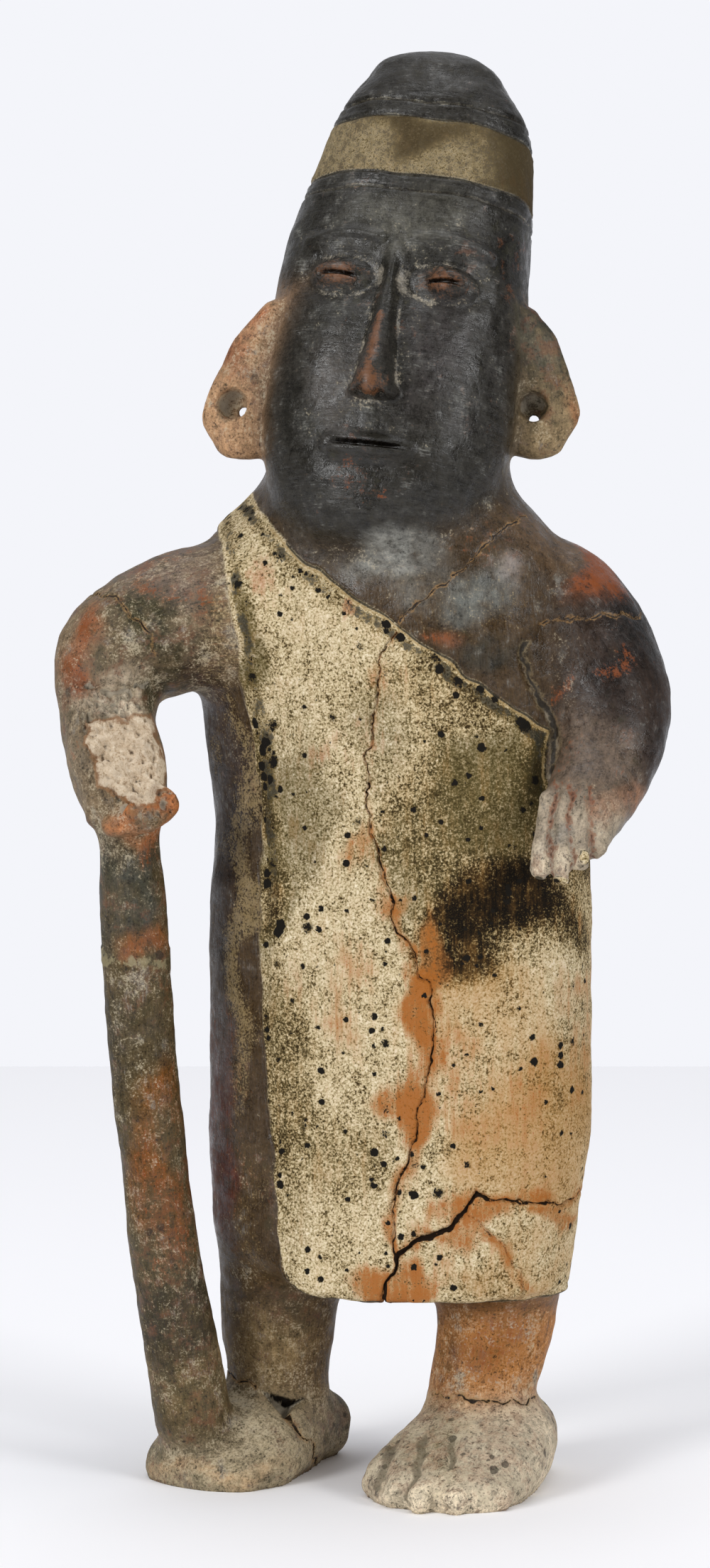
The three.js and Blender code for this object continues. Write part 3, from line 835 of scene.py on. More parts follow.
relief -= MEND_DEEP * (1 - step(-0.2, 0.8, mend))
for width, depth, line in GROOVES.values():
    relief -= depth * groove(np.maximum(line_gap(points, {"groove": (0, line)}), 0), width)
repair = repair_gap(points[:, 0], points[:, 2])
relief += REPAIR_THICK * (gaps["staff"] < 5) * step(1.2, -0.4, repair + 0.8 * wander(points, 9, 14))
pit = inside_by(points[:, [0, 2]], PIT)
relief -= PIT_DEEP * step(-0.6, 1.5, pit) * (np.abs(points[:, 1] - 3) < 22) * (normals[:, 1] < 0)
print("relief from", relief.min().round(2), "to", relief.max().round(2), "mm")

# %% [markdown]
# ### The face's slits and hollows
#
# Each eye is an almond pellet slit along its middle with a stick, and the mouth is one longer slit. Shallow
# hollows set the eyes back from the brows and cheeks, as a thumb pressed into wet clay would.

# %% Slits, hollows and nostrils
def slits(x, s):
    """The eye slits and the mouth slit: 0 in the middle of each and 1 at its edge."""
    eye = np.abs(x) - EYE_WIDTH
    eyes = np.maximum(np.abs(s - EYE_LINE + 0.03 * eye**2 / 4) / 1.3, np.abs(eye) / 9.5)
    return eyes, np.maximum(np.abs(s - MOUTH_LINE) / 1.7, np.abs(x) / MOUTH_HALF)


def swelling(across, up):
    """1 in the middle of a swelling and falling off like a bell: e to the power of minus both squares."""
    return np.exp(-(across**2) - up**2)


FACE_FRONT = -25  # the face lies in front of this, in the head's own axes
x, y, s = head_place(points).T
front = y < FACE_FRONT
lid = np.hypot((np.abs(x) - EYE_WIDTH) / (EYE_WIDTH / 2), (s - EYE_LINE) / 7.5)
slit, mouth = slits(x, s)
# Eye slits, a furrow round each lid, and the hollows between eyes and nose
relief -= front * 3.2 * (1 - step(0.6, 1.25, slit))
relief -= front * 1.6 * groove(lid - 1.4, 0.4) * step(1.0, 1.3, lid)
relief -= front * 2.4 * swelling((np.abs(x) - 15) / 9, (s - EYE_LINE + 3) / 15)
# Cheeks, mouth slit, and the hollow under the lower lip
relief += front * 1.6 * swelling((np.abs(x) - 30) / 13, (s - NOSE_BASE - 14) / 15)
relief -= front * 4.6 * (1 - step(0.6, 1.2, mouth))
relief -= front * 1.6 * groove(s - MOUTH_LINE + 10.5, 3.5) * step(26, 10, np.abs(x))
# Chin, the hollow under it, and the nostrils
relief += front * 2.6 * swelling(x / 20, (s - CHIN - 8) / 8)
relief -= 3.0 * (y < 0) * swelling(x / 40, (s - CHIN + 8) / 7)
nostril = np.hypot((np.abs(x) - 5.5) / 2.6, (s - NOSE_BASE - 1.5) / 2.6)
relief -= (y < FACE - 4) * 2.0 * (1 - step(0.4, 1.2, nostril))
points = points + relief[:, None] * normals
print("face has eye line", EYE_LINE, "and brow line", round(BROW_LINE, 1))

# %% [markdown]
# ### The break at the wrist, and the floor
#
# The right hand broke off and left a rough slanting face across the wrist and the head of the staff. All
# that lies in front of a slanting plane is moved straight back onto it, which cuts it as flat as a break,
# and a coarse ripple roughens it. The soles are made flat in the same way.

# %% Fracture and soles
BREAK_AT, SOLE = (-111.5, -47, 360), 1.2  # a place on the break; how much of each sole is flattened
away = np.array([0.1, -0.86, 0.5])
away /= np.linalg.norm(away)
broken = (points - BREAK_AT) @ away
at_wrist = (np.abs(points[:, 0] + 111) < 32) & (points[:, 2] > 325) & (points[:, 2] < 400)
grit = 1.3 * wander(points, 7, 21) + 0.9 * wander(points, 3.2, 22) + 1.8 * wander(points, 22, 23)
on_break = at_wrist & (broken > -0.3)
points[on_break] += ((grit - broken)[:, None] * away)[on_break]
points[:, 2] = np.maximum(points[:, 2], 0)
points[:, 2] -= np.clip(points[:, 2], 0, SOLE) * (points[:, 2] < SOLE)
print(int(on_break.sum()), "points on the break")

# %% [markdown]
# ## A lighter mesh
#
# The remesh gave every place the same tiny faces. The decimate modifier now takes away points where the
# surface is nearly flat and leaves them at edges, cracks and grooves, until the piece is small enough.

# %% Decimate
MOST_TRIANGLES = 190_000
put(figure.data, points)
count = sum(len(face) - 2 for face in faces_of(figure.data))
finished(figure, type="DECIMATE", ratio=MOST_TRIANGLES / count)
points = points_of(figure.data)
print(count, "triangles became", sum(len(face) - 2 for face in faces_of(figure.data)))

# %% [markdown]
# ## Where each colour goes
#
# Fired clay takes its colour from the slip, the smoke and the soil it lay in, and each of those has its own
# place on the figure. A place that follows the surface is kept as an attribute: a number or colour at every
# point. Distances are kept rather than masks, because a distance stays smooth between points, and the
# material can then draw an edge or a crack much finer than the mesh.

# %% Helper: colours and attributes
def linear(code):
    """An sRGB hex colour as linear red, green and blue: each channel less 0.055, over 1.055, to the power
    2.4, or over 12.92 where it is very dark."""
    c = np.array([int(code[i : i + 2], 16) for i in (1, 3, 5)]) / 255
    return np.where(c <= 0.04045, c / 12.92, ((c + 0.055) / 1.055) ** 2.4)


def keep(name, values):
    """Stores one number, vector or colour for every vertex."""
    kinds = {1: ("FLOAT", "value"), 3: ("FLOAT_VECTOR", "vector"), 4: ("FLOAT_COLOR", "color")}
    width = values.shape[1] if values.ndim > 1 else 1
    kind, field = kinds[width]
    layer = figure.data.attributes.new(name, kind, "POINT")
    layer.data.foreach_set(field, values.astype(np.float32).ravel())


def patch(strength, x, y, z, *radii):
    """The strength in the middle of an oval patch, falling to 0 at 1.3 times its radii."""
    return strength * (1 - step(0.35, 1.3, np.linalg.norm((loose - (x, y, z)) / radii, axis=1)))


def limit(values, top=30):
    """Values held between -top and top."""
    return np.clip(values, -top, top)


gaps, found = belonging(points)
loose = ragged(points, 5, 38, 31)
print("white is", linear("#ffffff").tolist())

# %% Colours of the bare clay, with some painted shade and painted sheen
GROUND = {
    # colour, and how far it was burnished from 0 to 1
    "body": ("#3a2b18", 0.9), "head": ("#23211c", 1.0), "staff": ("#4c3f28", 0.4),
    "right_arm": ("#6a5943", 0.35), "left_arm": ("#2b1f17", 0.9), "left_hand": ("#b5a68f", 0.15),
    "right_leg": ("#54422a", 0.4), "left_leg": ("#946334", 0.3), "right_foot": ("#8c7f66", 0.1),
    "left_foot": ("#cdbea4", 0.1), "right_ear": ("#a07d5c", 0.2), "left_ear": ("#877354", 0.2),
}
TOUCHES = [
    # colour, strength, x, y and z of the middle, three radii
    # The next two touches darken the crown and the head's side towards +x: painted shade over the smoke's own
    # darkening
    ("#1b1812", 0.8, 30, -30, 695, 60, 60, 30), ("#15130e", 0.9, 88, 0, 610, 26, 70, 90),
    ("#48463e", 0.8, 16, -60, 628, 50, 50, 14), ("#2e2a28", 0.7, 44, -62, 560, 26, 40, 34),
    ("#38322c", 0.7, -8, -62, 545, 18, 40, 34), ("#1c1913", 0.7, 10, -60, 505, 55, 40, 18),
    # The pale grey touches at x 18 and 60, and the first on the next line, are painted sheen mixed with dust:
    # a bluish highlight on the neck's base, the chest beside it and the left shoulder's slope
    ("#74736c", 0.8, 18, -50, 460, 26, 40, 13), ("#585954", 0.8, 60, -50, 446, 20, 40, 14),
    ("#7b7068", 0.6, 76, -50, 452, 12, 40, 10), ("#6b4228", 0.7, 44, -50, 427, 14, 40, 7),
    ("#2b2a22", 0.7, 66, -50, 415, 20, 40, 12), ("#54402a", 0.8, 95, -10, 470, 36, 40, 16),
    # The near-black touch at x 138 darkens the outer side of the left arm: painted shade over its dark
    # burnish
    ("#8a4a24", 0.9, 118, -14, 449, 20, 26, 14), ("#0e0a07", 0.95, 138, -10, 400, 22, 50, 70),
    ("#17100c", 0.8, 120, -60, 412, 14, 40, 20), ("#584a3d", 0.85, 112, -62, 362, 26, 34, 26),
    ("#7d5a42", 0.8, 122, -60, 340, 14, 30, 14), ("#6b6863", 0.6, 92, -70, 320, 10, 30, 10),
    ("#66574a", 0.9, -92, -15, 450, 34, 40, 18), ("#37321f", 1.0, -106, -30, 428, 22, 40, 24),
    ("#352e1c", 0.9, -86, -20, 408, 18, 40, 20), ("#4a2c17", 0.8, -72, -20, 395, 10, 40, 16),
    ("#8c5231", 0.9, -136, -20, 412, 12, 30, 20), ("#b5a791", 0.9, -120, -32, 392, 22, 26, 14),
    ("#6f6351", 0.7, -134, -30, 365, 14, 30, 30), ("#a2653a", 0.9, -104, -54, 338, 24, 16, 12),
    ("#3a3930", 0.9, -114, -40, 305, 18, 30, 30), ("#7d4c22", 0.9, -102, -46, 276, 9, 20, 14),
    ("#3c3527", 0.8, -108, -30, 232, 20, 30, 26), ("#6f4419", 0.85, -97, -36, 172, 12, 26, 44),
    ("#3d3524", 0.7, -118, -30, 200, 10, 30, 60), ("#32291a", 0.85, -92, -20, 82, 30, 40, 26),
    ("#5b4b2f", 0.7, -86, -14, 48, 30, 40, 16), ("#2b1d12", 0.9, -68, 0, 340, 18, 60, 90),
    ("#522616", 0.8, -69, 0, 165, 8, 60, 66), ("#3c2c15", 0.7, -54, 0, 215, 14, 60, 26),
    ("#48361d", 0.6, -52, 0, 105, 26, 60, 16), ("#786546", 0.7, -40, 0, 62, 34, 40, 18),
    ("#734e2c", 0.8, 44, -24, 74, 12, 30, 30), ("#9c8c6c", 0.6, 40, -50, 30, 22, 30, 20),
    ("#8d4a26", 0.8, -58, -10, 574, 9, 30, 14), ("#6f6550", 0.7, -58, -10, 528, 9, 30, 12),
    ("#5a5444", 0.7, 84, 0, 566, 14, 30, 16), ("#84502f", 0.6, 104, 0, 524, 10, 30, 16),
    ("#a58764", 0.5, -75, -22, 6, 50, 30, 6),
]
print(len(GROUND), "ground colours and", len(TOUCHES), "touches")

# %% Ground colour and polish at every point
weight = {
    name: np.exp(-np.maximum(gaps[name], 0) / 3.5 - np.maximum(-gaps[name], 0) / 12) for name in GROUND
}
summed = sum(weight.values())
ground = sum(weight[name][:, None] * linear(code) for name, (code, _) in GROUND.items()) / summed[:, None]
polish = sum(weight[name] * much for name, (_, much) in GROUND.items()) / summed
mottled = 1 + 0.22 * wander(points, 6, 61) + 0.18 * wander(points, 3.5, 62)
for code, *touch in TOUCHES:
    amount = np.clip(patch(*touch) * mottled, 0, 1)[:, None]
    ground = ground * (1 - amount) + linear(code) * amount
keep("ground", np.hstack([ground, np.ones((len(points), 1))]))
keep("polish", polish)
print("mean bare colour", ground.mean(0).round(3))

# %% Direction of the burnishing strokes
STROKE_WIDE, STROKE_LONG = 1.6, 16  # mm


def strokes():
    """Place on a form in strokes: the offset across the pebble's strokes over their width, and along them
    over their length.

    On the limbs and staff the strokes run lengthwise, on the head and neck they run round it, and on the
    body's bare side they run up and down.
    """
    summed, blended = np.zeros((len(points), 1)), np.zeros((len(points), 3))
    for name in weight:
        _, run, across = found[name]
        run_size, across_size = STROKE_LONG, STROKE_WIDE
        if name == "head":
            run_size, across_size = STROKE_WIDE, STROKE_LONG
        scale = np.array([run_size, across_size, across_size])
        w = (weight[name] ** 4)[:, None]
        summed, blended = summed + w, blended + w * np.column_stack([run, across]) / scale
    return blended / np.maximum(summed, 1e-9)


keep("stroke", strokes())
print("strokes are", STROKE_LONG, "mm by", STROKE_WIDE, "mm")

# %% Slip, band, cracks and breaks as distances
mantle, band, wavy = mantle_depth(points, gaps), band_height(points), wavering(points)
high = points[:, 2] > BAND_FLOOR
keep("mantle", limit(mantle))
keep("band", np.where((gaps["head"] < 6) & high, band, 0))
LINES = {"crack": CRACKS, "mend": MENDS, "armpit": {}, "finger": {}, "toe": {}}
for name, (_, _, line) in GROOVES.items():
    LINES[name.split()[-1]][name] = (0, line)
for name, lines in LINES.items():
    keep(name, limit(line_gap(wavy, lines)))
broken = inside_by(ragged(points, 0.8, 9, 8)[:, [0, 2]], FRACTURE)
keep("broken", limit(np.where(np.abs(points[:, 1] + 47) < 30, broken, -30)))
pit = inside_by(points[:, [0, 2]], PIT)
keep("pit", limit(np.where(np.abs(points[:, 1] - 5) < 25, pit, -30)))
at_band = np.abs(band[:, None] - BAND_LINES).min(1)
at_edge = np.abs(mantle - 0.5) + FAR * step(-34, -44, points[:, 0])
keep("line", limit(np.where(high, at_band, at_edge)))
keep("rim", limit(np.maximum(np.abs(mantle - 1.6), np.maximum(-42 - points[:, 0], 345 - points[:, 2]))))
keep("border", step(1, 3, mantle) * step(13, 7, mantle) * step(200, 320, points[:, 2]))
at_repair = repair_gap(points[:, 0], ragged(points, 1.5, 9, 12)[:, 2])
keep("repair", limit(at_repair + 30 * (gaps["staff"] > 5)))
print("attributes:", [a.name for a in figure.data.attributes if not a.name.startswith(".")])

# %% Smoke and painted shade, wear and stains
PATCHES = {
    # strength, x, y and z of the middle, three radii
    "smoke": [
        (1.1, 76, -30, 300, 44, 70, 32), (1.0, 57, -50, 284, 30, 60, 30), (0.6, 92, -40, 345, 26, 70, 50),
        (0.85, 47, -50, 268, 18, 60, 20), (0.45, 48, -50, 335, 44, 60, 50),
        (0.25, -8, -45, 172, 20, 60, 26), (0.4, -34, -45, 200, 14, 60, 60), (0.3, 50, -50, 395, 50, 60, 20),
        (0.2, 100, -20, 200, 20, 60, 40), (0.45, -50, -30, 250, 9, 60, 190),
        # The crown patch at z 704, the patch at x 92 on the head's side and the patch at x 140 on the left
        # arm's outer side paint shade as well as smoke
        (0.5, 34, -30, 668, 36, 60, 10), (0.9, 30, -30, 704, 60, 60, 24), (0.8, 92, 0, 590, 18, 70, 80),
        (0.9, 140, -10, 400, 24, 50, 66), (0.6, 10, -60, 502, 50, 40, 14),
    ],
    "film": [
        (1.1, 70, -50, 345, 46, 60, 52), (0.8, 34, -50, 320, 30, 60, 50), (0.7, -30, -50, 335, 20, 60, 60),
        (0.5, -10, -50, 170, 26, 60, 26), (0.6, -34, -50, 190, 16, 60, 70),
        (0.7, -44, -40, 290, 12, 60, 120), (0.5, 10, -50, 380, 20, 60, 30), (0.4, 60, -50, 110, 30, 60, 12),
        (0.9, -52, -30, 400, 9, 60, 60), (1.0, 86, -10, 646, 28, 60, 44), (0.6, 30, -30, 671, 44, 60, 9),
        (0.6, -20, 60, 330, 40, 40, 60), (0.5, 50, 50, 180, 40, 40, 50),
    ],
    "wear": [
        (1.1, 36, -55, 246, 11, 60, 48), (1.1, 26, -55, 190, 15, 60, 34), (0.75, 5, -50, 322, 12, 60, 30),
        (0.6, 10, -50, 405, 6, 60, 24), (0.95, 20, -50, 107, 22, 60, 14), (0.9, 58, -50, 140, 26, 60, 12),
        (0.9, 96, -30, 140, 26, 60, 10), (0.65, 80, -30, 195, 40, 60, 46), (0.5, -5, -50, 245, 24, 60, 46),
        (0.65, 112, -10, 240, 14, 60, 70), (0.6, 52, -50, 205, 16, 60, 40), (0.5, 40, -50, 118, 20, 60, 20),
        (0.6, -4, -50, 262, 16, 60, 22), (0.5, 76, -10, 636, 26, 60, 26),
    ],
    "tan": [
        (1.1, 84, -30, 185, 50, 60, 62), (0.6, 60, -50, 240, 40, 60, 30), (0.6, 80, -40, 110, 50, 60, 20),
    ],
    "pink": [
        (0.9, -15, -40, 441, 14, 60, 7), (0.8, -42, -30, 452, 9, 60, 24), (0.55, -10, -45, 370, 26, 60, 30),
        (0.6, 14, -50, 400, 16, 60, 14), (0.4, -30, -45, 250, 20, 60, 60),
    ],
    "reds": [
        (1.1, 116, -14, 449, 26, 30, 17), (0.9, 103, -60, 394, 6, 40, 24),
        (0.95, -137, -20, 412, 14, 34, 24), (0.8, 122, -50, 410, 9, 40, 12), (0.7, 40, -50, 428, 22, 40, 8),
        (0.6, 108, -60, 350, 18, 40, 22), (0.8, -101, -20, 452, 12, 30, 8),
        (0.8, -72, -20, 440, 10, 30, 20), (0.7, -102, -46, 276, 10, 20, 18),
        (0.7, -132, -40, 368, 9, 30, 12), (0.5, 0, -70, 500, 40, 40, 12), (0.8, 66, -20, 76, 26, 30, 26),
        (0.7, -94, -34, 165, 14, 30, 90), (0.8, -104, -54, 325, 14, 20, 26),
        (0.5, -62, 0, 200, 14, 60, 110), (0.5, 60, -40, 470, 30, 30, 12), (0.6, -66, -20, 570, 16, 20, 30),
        (0.6, -90, -10, 447, 30, 40, 14), (0.5, -62, -20, 420, 10, 40, 40),
    ],
    "dusting": [
        (1.2, -57, -20, 290, 15, 60, 150), (0.7, -52, -20, 120, 20, 60, 60),
        (0.9, -64, -20, 420, 14, 60, 50), (0.5, -108, -30, 180, 40, 60, 150),
        (0.3, -110, -20, 420, 44, 60, 50), (0.5, 0, 0, 40, 200, 90, 60), (0.6, 55, -50, 440, 50, 60, 26),
    ],
}
print("patches:", {name: len(places) for name, places in PATCHES.items()})

# %% Stains at every point, and the wear beside the cracks
stain = {
    name: np.maximum.reduce([patch(*place) for place in places]) for name, places in PATCHES.items()
}
from_crack = np.maximum(line_gap(ragged(points, 2.2, 18, 51), CRACKS), 0)
beside_crack = groove(from_crack, 6) * step(95, 105, points[:, 2])
beside_crack *= 0.55 + 0.45 * step(325, 290, points[:, 2])
stain["wear"] = np.maximum(stain["wear"], 0.85 * beside_crack)
for name, values in stain.items():
    keep(name, values)
print("smoke covers", round(100 * float((stain["smoke"] > 0.5).mean()), 1), "% of the points")

# %% Lids and nose ridge, where the burnish wore through
x, y, s = head_place(points).T
on_face = (y < FACE_FRONT) & (points[:, 2] > 480)
lid = np.hypot((np.abs(x) - EYE_WIDTH) / (EYE_WIDTH / 2), (s - EYE_LINE) / 7.0)
ridge = np.hypot((x + 1) / 3.0, np.maximum(np.abs(s - (NOSE_BASE + 26)) - 22, 0) / 8)
tip = np.hypot(x / 9, (s - NOSE_BASE - 5) / 9)
worn = np.minimum(ridge + FAR * (y > FACE - 6), tip + FAR * (y > FACE - 8))
keep("lid", np.where(on_face, np.minimum(lid, worn), 9))
# Distance inside the eye and mouth slits, which the material fills with painted shade
keep("slit", np.where(on_face, np.minimum(*slits(x, s)), 9))
print("worn places on the face:", int((np.minimum(lid, worn) < 1).sum()), "points")

# %% Crevices: dust gathers in them, and the break's hollows get painted shade
edges = edges_of(figure.data)
normals = normals_of(figure.data)
spread = smooth(points, edges, np.full(len(points), 0.7), 6)
hollow = ((spread - points) * normals).sum(1)
hollow = smooth(np.stack([hollow] * 3, 1), edges, np.full(len(points), 0.6), 2)[:, 0]
keep("hollow", np.clip(hollow, -1.5, 1.5))
print("hollows between", hollow.min().round(2), "and", hollow.max().round(2), "mm")

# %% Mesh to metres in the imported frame
put(figure.data, (points - BASE) / 1000)
figure.data.polygons.foreach_set("use_smooth", np.ones(len(figure.data.polygons), bool))
figure.data.update()
print("figure is", np.ptp(points, axis=0).round(1), "mm")

# %% [markdown]
# ## The material: burnished and slip-painted terracotta
#
# Terracotta is an open, matt clay body. Where a pebble has burnished it before firing, its surface is
# closed and gives a soft satin sheen with fine strokes in it. The mantle and the headband were left
# rougher: a pale slip that has worn through in grains a millimetre or two wide, so the eye sees salt and
# pepper. Manganese in the soil left black spots of 1 to 5 mm. One material holds it all, because it is one
# piece of clay, and each finish fades into the next.

# %% Helper: add a node
clay = bpy.data.materials.new("burnished_and_slip_painted_terracotta")
clay.use_nodes = True
tree = clay.node_tree
tree.nodes.clear()


def node(kind, inputs=None, **settings):
    """Adds one shader node. settings are its own properties; inputs are its sockets, by name or number,
    each a plain value or another node's output to link."""
    made = tree.nodes.new("ShaderNode" + kind)
    for name, value in settings.items():
        setattr(made, name, value)
    for key, value in (inputs or {}).items():
        if isinstance(value, bpy.types.NodeSocket):
            tree.links.new(value, made.inputs[key])
        elif isinstance(value, str):
            made.inputs[key].default_value = (*linear(value), 1)
        else:
            made.inputs[key].default_value = value
    return made


place = node("TexCoord").outputs["Object"]
# Every number that a mask can be made from, by name: first the attributes
number = {
    name: node("Attribute", attribute_name=name).outputs["Fac"]
    for name in (
        *LINES, *PATCHES, "mantle", "band", "broken", "pit", "slit", "repair", "border", "line", "rim", "lid",
        "hollow", "polish",
    )
}
ground_colour = node("Attribute", attribute_name="ground").outputs["Color"]
stroke_place = node("Attribute", attribute_name="stroke").outputs["Vector"]
print("material reads", len(number) + 2, "attributes")

# %% Patterns, each at its real size in mm
PER_METRE = 1000
BRUSHED_DOWN = (1, 1, 0.09)  # the slip brush left marks eleven times as long as they are wide
brush_place = node("VectorMath", {0: place, 1: BRUSHED_DOWN}, operation="MULTIPLY").outputs[0]
for name, where, size, detail, roughness in [
    # The slip's real grain is about half a millimetre. It is drawn twice as coarse, so that it doesn't blur
    # into one tone at this distance.
    ("grain", place, 1.1, 3, 0.75), ("fleck", place, 4, 4, 0.7), ("mottle", place, 15, 4, 0.6),
    ("cloud", place, 48, 3, 0.5), ("hue", place, 9, 4, 0.75), ("brush", brush_place, 3.2, 4, 0.7),
    # These two lie along the burnishing strokes, whose unit is one stroke
    ("stroke", stroke_place, PER_METRE, 5, 0.7), ("scratch", stroke_place, PER_METRE / 2.6, 3, 0.7),
]:
    settings = {"Vector": where, "Scale": PER_METRE / size, "Detail": detail, "Roughness": roughness}
    number[name] = node("TexNoise", settings).outputs["Fac"]
print("numbers to mix:", ", ".join(number))

# %% Manganese spots: cells with a round spot in some of them
CELLS = {"small": 6.5, "large": 13}  # widths in mm
RAGGED = 0.0024  # how far the cells are moved about, in m, so that the spots come out ragged
jitter = node("TexNoise", {"Vector": place, "Scale": PER_METRE / 2.2, "Detail": 2, "Roughness": 0.7})
shift = {0: jitter.outputs["Color"], 1: (0.5, 0.5, 0.5)}
shift = node("VectorMath", shift, operation="SUBTRACT").outputs[0]
moved = {0: shift, 1: (RAGGED, RAGGED, RAGGED), 2: place}
moved = node("VectorMath", moved, operation="MULTIPLY_ADD").outputs[0]
for name, size in CELLS.items():
    cells = node("TexVoronoi", {"Vector": moved, "Scale": PER_METRE / size, "Randomness": 1.0})
    chance = node("SeparateColor", {"Color": cells.outputs["Color"]})
    number[name + "_chance"], number[name + "_away"] = chance.outputs[0], cells.outputs["Distance"]
print("cells are", *CELLS.values(), "mm wide")

# %% [markdown]
# ### From numbers to masks
#
# A mask is a sum of shares of a few numbers, put through a soft step. Colours are then laid over one
# another as thin washes would be, each where its mask says. A wash is one row of a table: its colour, how
# far it covers at most, where its soft step begins and ends, and the share of each number.

# %% Helper: a mask from a weighted sum
def total(start=0.0, **shares):
    """start, plus each named number times its share."""
    for name, share in shares.items():
        start = node("Math", {0: number[name], 1: share, 2: start}, operation="MULTIPLY_ADD").outputs[0]
    return start


def mask(low, high, most=1.0, shape="SMOOTHSTEP", **shares):
    """A soft step from low to high of the shares' sum, times most."""
    settings = {"Value": total(**shares), "From Min": low, "From Max": high, "To Max": most}
    return node("MapRange", settings, interpolation_type=shape).outputs["Result"]


def washed(base, washes):
    """The base colour under every wash of the table, in order."""
    for colour, most, low, high, shares in washes:
        covers = mask(low, high, most, **shares)
        base = node("Mix", {0: covers, 6: base, 7: colour}, data_type="RGBA").outputs[2]
    return base


# The headband's slip lies between its two middle lines, and the grain frays both of its edges
foot, top = BAND_LINES[1:3]
band_low = mask(foot + 1.0, foot + 2.4, band=1, grain=2)
band_high = mask(top + 0.2, top + 1.6, band=1, grain=2)
number["on_band"] = node("Math", {0: band_low, 1: band_high}, operation="SUBTRACT").outputs[0]
in_mantle = mask(0.2, 1.6, mantle=1, grain=1.6)
slipped = node("Math", {0: in_mantle, 1: number["on_band"]}, operation="MAXIMUM").outputs[0]
small_spots = mask(0.84, 0.88, small_chance=0.5, cloud=0.9, border=0.2, grain=0.35, small_away=-1)
large_spots = mask(0.88, 0.93, large_chance=0.5, cloud=0.4, border=0.25, grain=0.7, large_away=-1)
number["spots"] = node("Math", {0: small_spots, 1: large_spots}, operation="MAXIMUM").outputs[0]
print("masks for the slip and the spots")

# %% Colour of the slip
tone = mask(0.60, 1.12, shape="LINEAR", grain=1, fleck=0.35, mottle=0.3, brush=0.15, smoke=-0.3, border=-0.05)
ramp = node("ValToRGB", {"Fac": tone})
STOPS = [
    (0.0, "#0d0904"), (0.17, "#2a2010"), (0.31, "#685735"), (0.45, "#a08d66"), (0.60, "#c6b590"),
    (0.82, "#dccdae"), (1.0, "#ebe1ca"),
]
while len(ramp.color_ramp.elements) < len(STOPS):
    ramp.color_ramp.elements.new(0.5)
for element, (at, colour) in zip(ramp.color_ramp.elements, STOPS):
    element.position = at
    element.color = (*linear(colour), 1)
BRUSHED = dict(mottle=0.8, brush=0.9, grain=0.35)
SLIP_WASHES = [
    # smoky film, tan and pink stains, then faint and strong wear down to the orange clay
    ("#574d2b", 0.85, -0.55, 0.45, dict(film=1, smoke=-0.9, mottle=0.7, fleck=-0.6, grain=-1.2)),
    ("#a87a3e", 0.6, 0.95, 1.65, dict(tan=0.6, **BRUSHED)),
    ("#a8704f", 0.6, 1.35, 1.65, dict(pink=0.6, **BRUSHED)),
    ("#a66c36", 0.65, 1.3, 1.8, dict(wear=0.8, **BRUSHED)),
    ("#9a5a20", 0.85, 3.02, 3.28, dict(wear=1, mottle=0.9, brush=1, fleck=1.1, grain=1.5)),
    # pepper, the border's dark blotches and its pale rim
    ("#33240f", 0.8, -0.83, -0.70, dict(grain=-1, fleck=-0.5, mottle=-0.3)),
    ("#272823", 0.85, 2.56, 2.7, dict(border=1, mottle=1.3, fleck=1, grain=0.9)),
    ("#9c8459", 0.7, 0.1, 0.7, dict(rim=-1, hue=2)),
    # the headband's duller tone and dark patches, and the spots everywhere else
    ("#6f634b", 0.4, 0.0, 1.0, dict(on_band=1)),
    ("#3b301d", 0.85, 2.55, 2.95, dict(on_band=1, mottle=0.7, fleck=1.2, grain=1.6, film=0.35)),
    ("#17140f", 1.0, 0.0, 1.0, dict(spots=1, on_band=-1)),
]
slip = washed(ramp.outputs["Color"], SLIP_WASHES)
print("slip has", len(STOPS), "tones and", len(SLIP_WASHES), "washes")

# %% Colour of the burnished clay
number["matt"] = node("Math", {0: 1.0, 1: number["polish"]}, operation="SUBTRACT").outputs[0]
shade = mask(0.82, 1.65, 2.3, "LINEAR", grain=0.7, stroke=0.6, fleck=0.7, mottle=0.5)
shaded = node("Mix", {0: 1.0, 6: ground_colour, 7: shade}, data_type="RGBA", blend_type="MULTIPLY").outputs[2]
CLAY_WASHES = [
    # warm, olive and red clay
    ("#6b3f20", 0.5, 0.88, 1.02, dict(hue=1, cloud=0.5, matt=0.16)),
    ("#3f3d2e", 0.4, -0.14, 0.02, dict(hue=-1, cloud=0.5, matt=0.16)),
    ("#74390f", 0.85, 1.95, 2.25, dict(reds=0.6, fleck=1.3, stroke=1, grain=0.9)),
    # grey scuffs and scratches on the burnish
    ("#73736c", 0.5, 1.48, 1.85, dict(hue=1, mottle=1, scratch=0.4, fleck=0.4, smoke=-0.3)),
    ("#85847d", 0.4, 1.4, 1.62, dict(scratch=1, hue=1, mottle=0.5)),
    ("#57534a", 0.5, 1.13, 1.33, dict(mottle=1, hue=0.7, matt=0.25)),
    # dust, pale grains, pepper and spots
    ("#94805a", 0.75, 1.6, 1.88, dict(dusting=0.5, grain=1.4, brush=0.3, fleck=0.7)),
    ("#b8ac92", 0.65, 1.3, 1.55, dict(grain=1, fleck=0.7, mottle=0.6, matt=0.25, hollow=0.25, smoke=-0.2)),
    ("#150e07", 0.7, -0.68, -0.52, dict(grain=-1, fleck=-0.6, matt=0.08)),
    ("#17140f", 0.7, 1.76, 1.9, dict(spots=1, matt=0.3, cloud=1)),
]
burnished = washed(shaded, CLAY_WASHES)
print("burnished clay has", len(CLAY_WASHES), "washes over its ground")

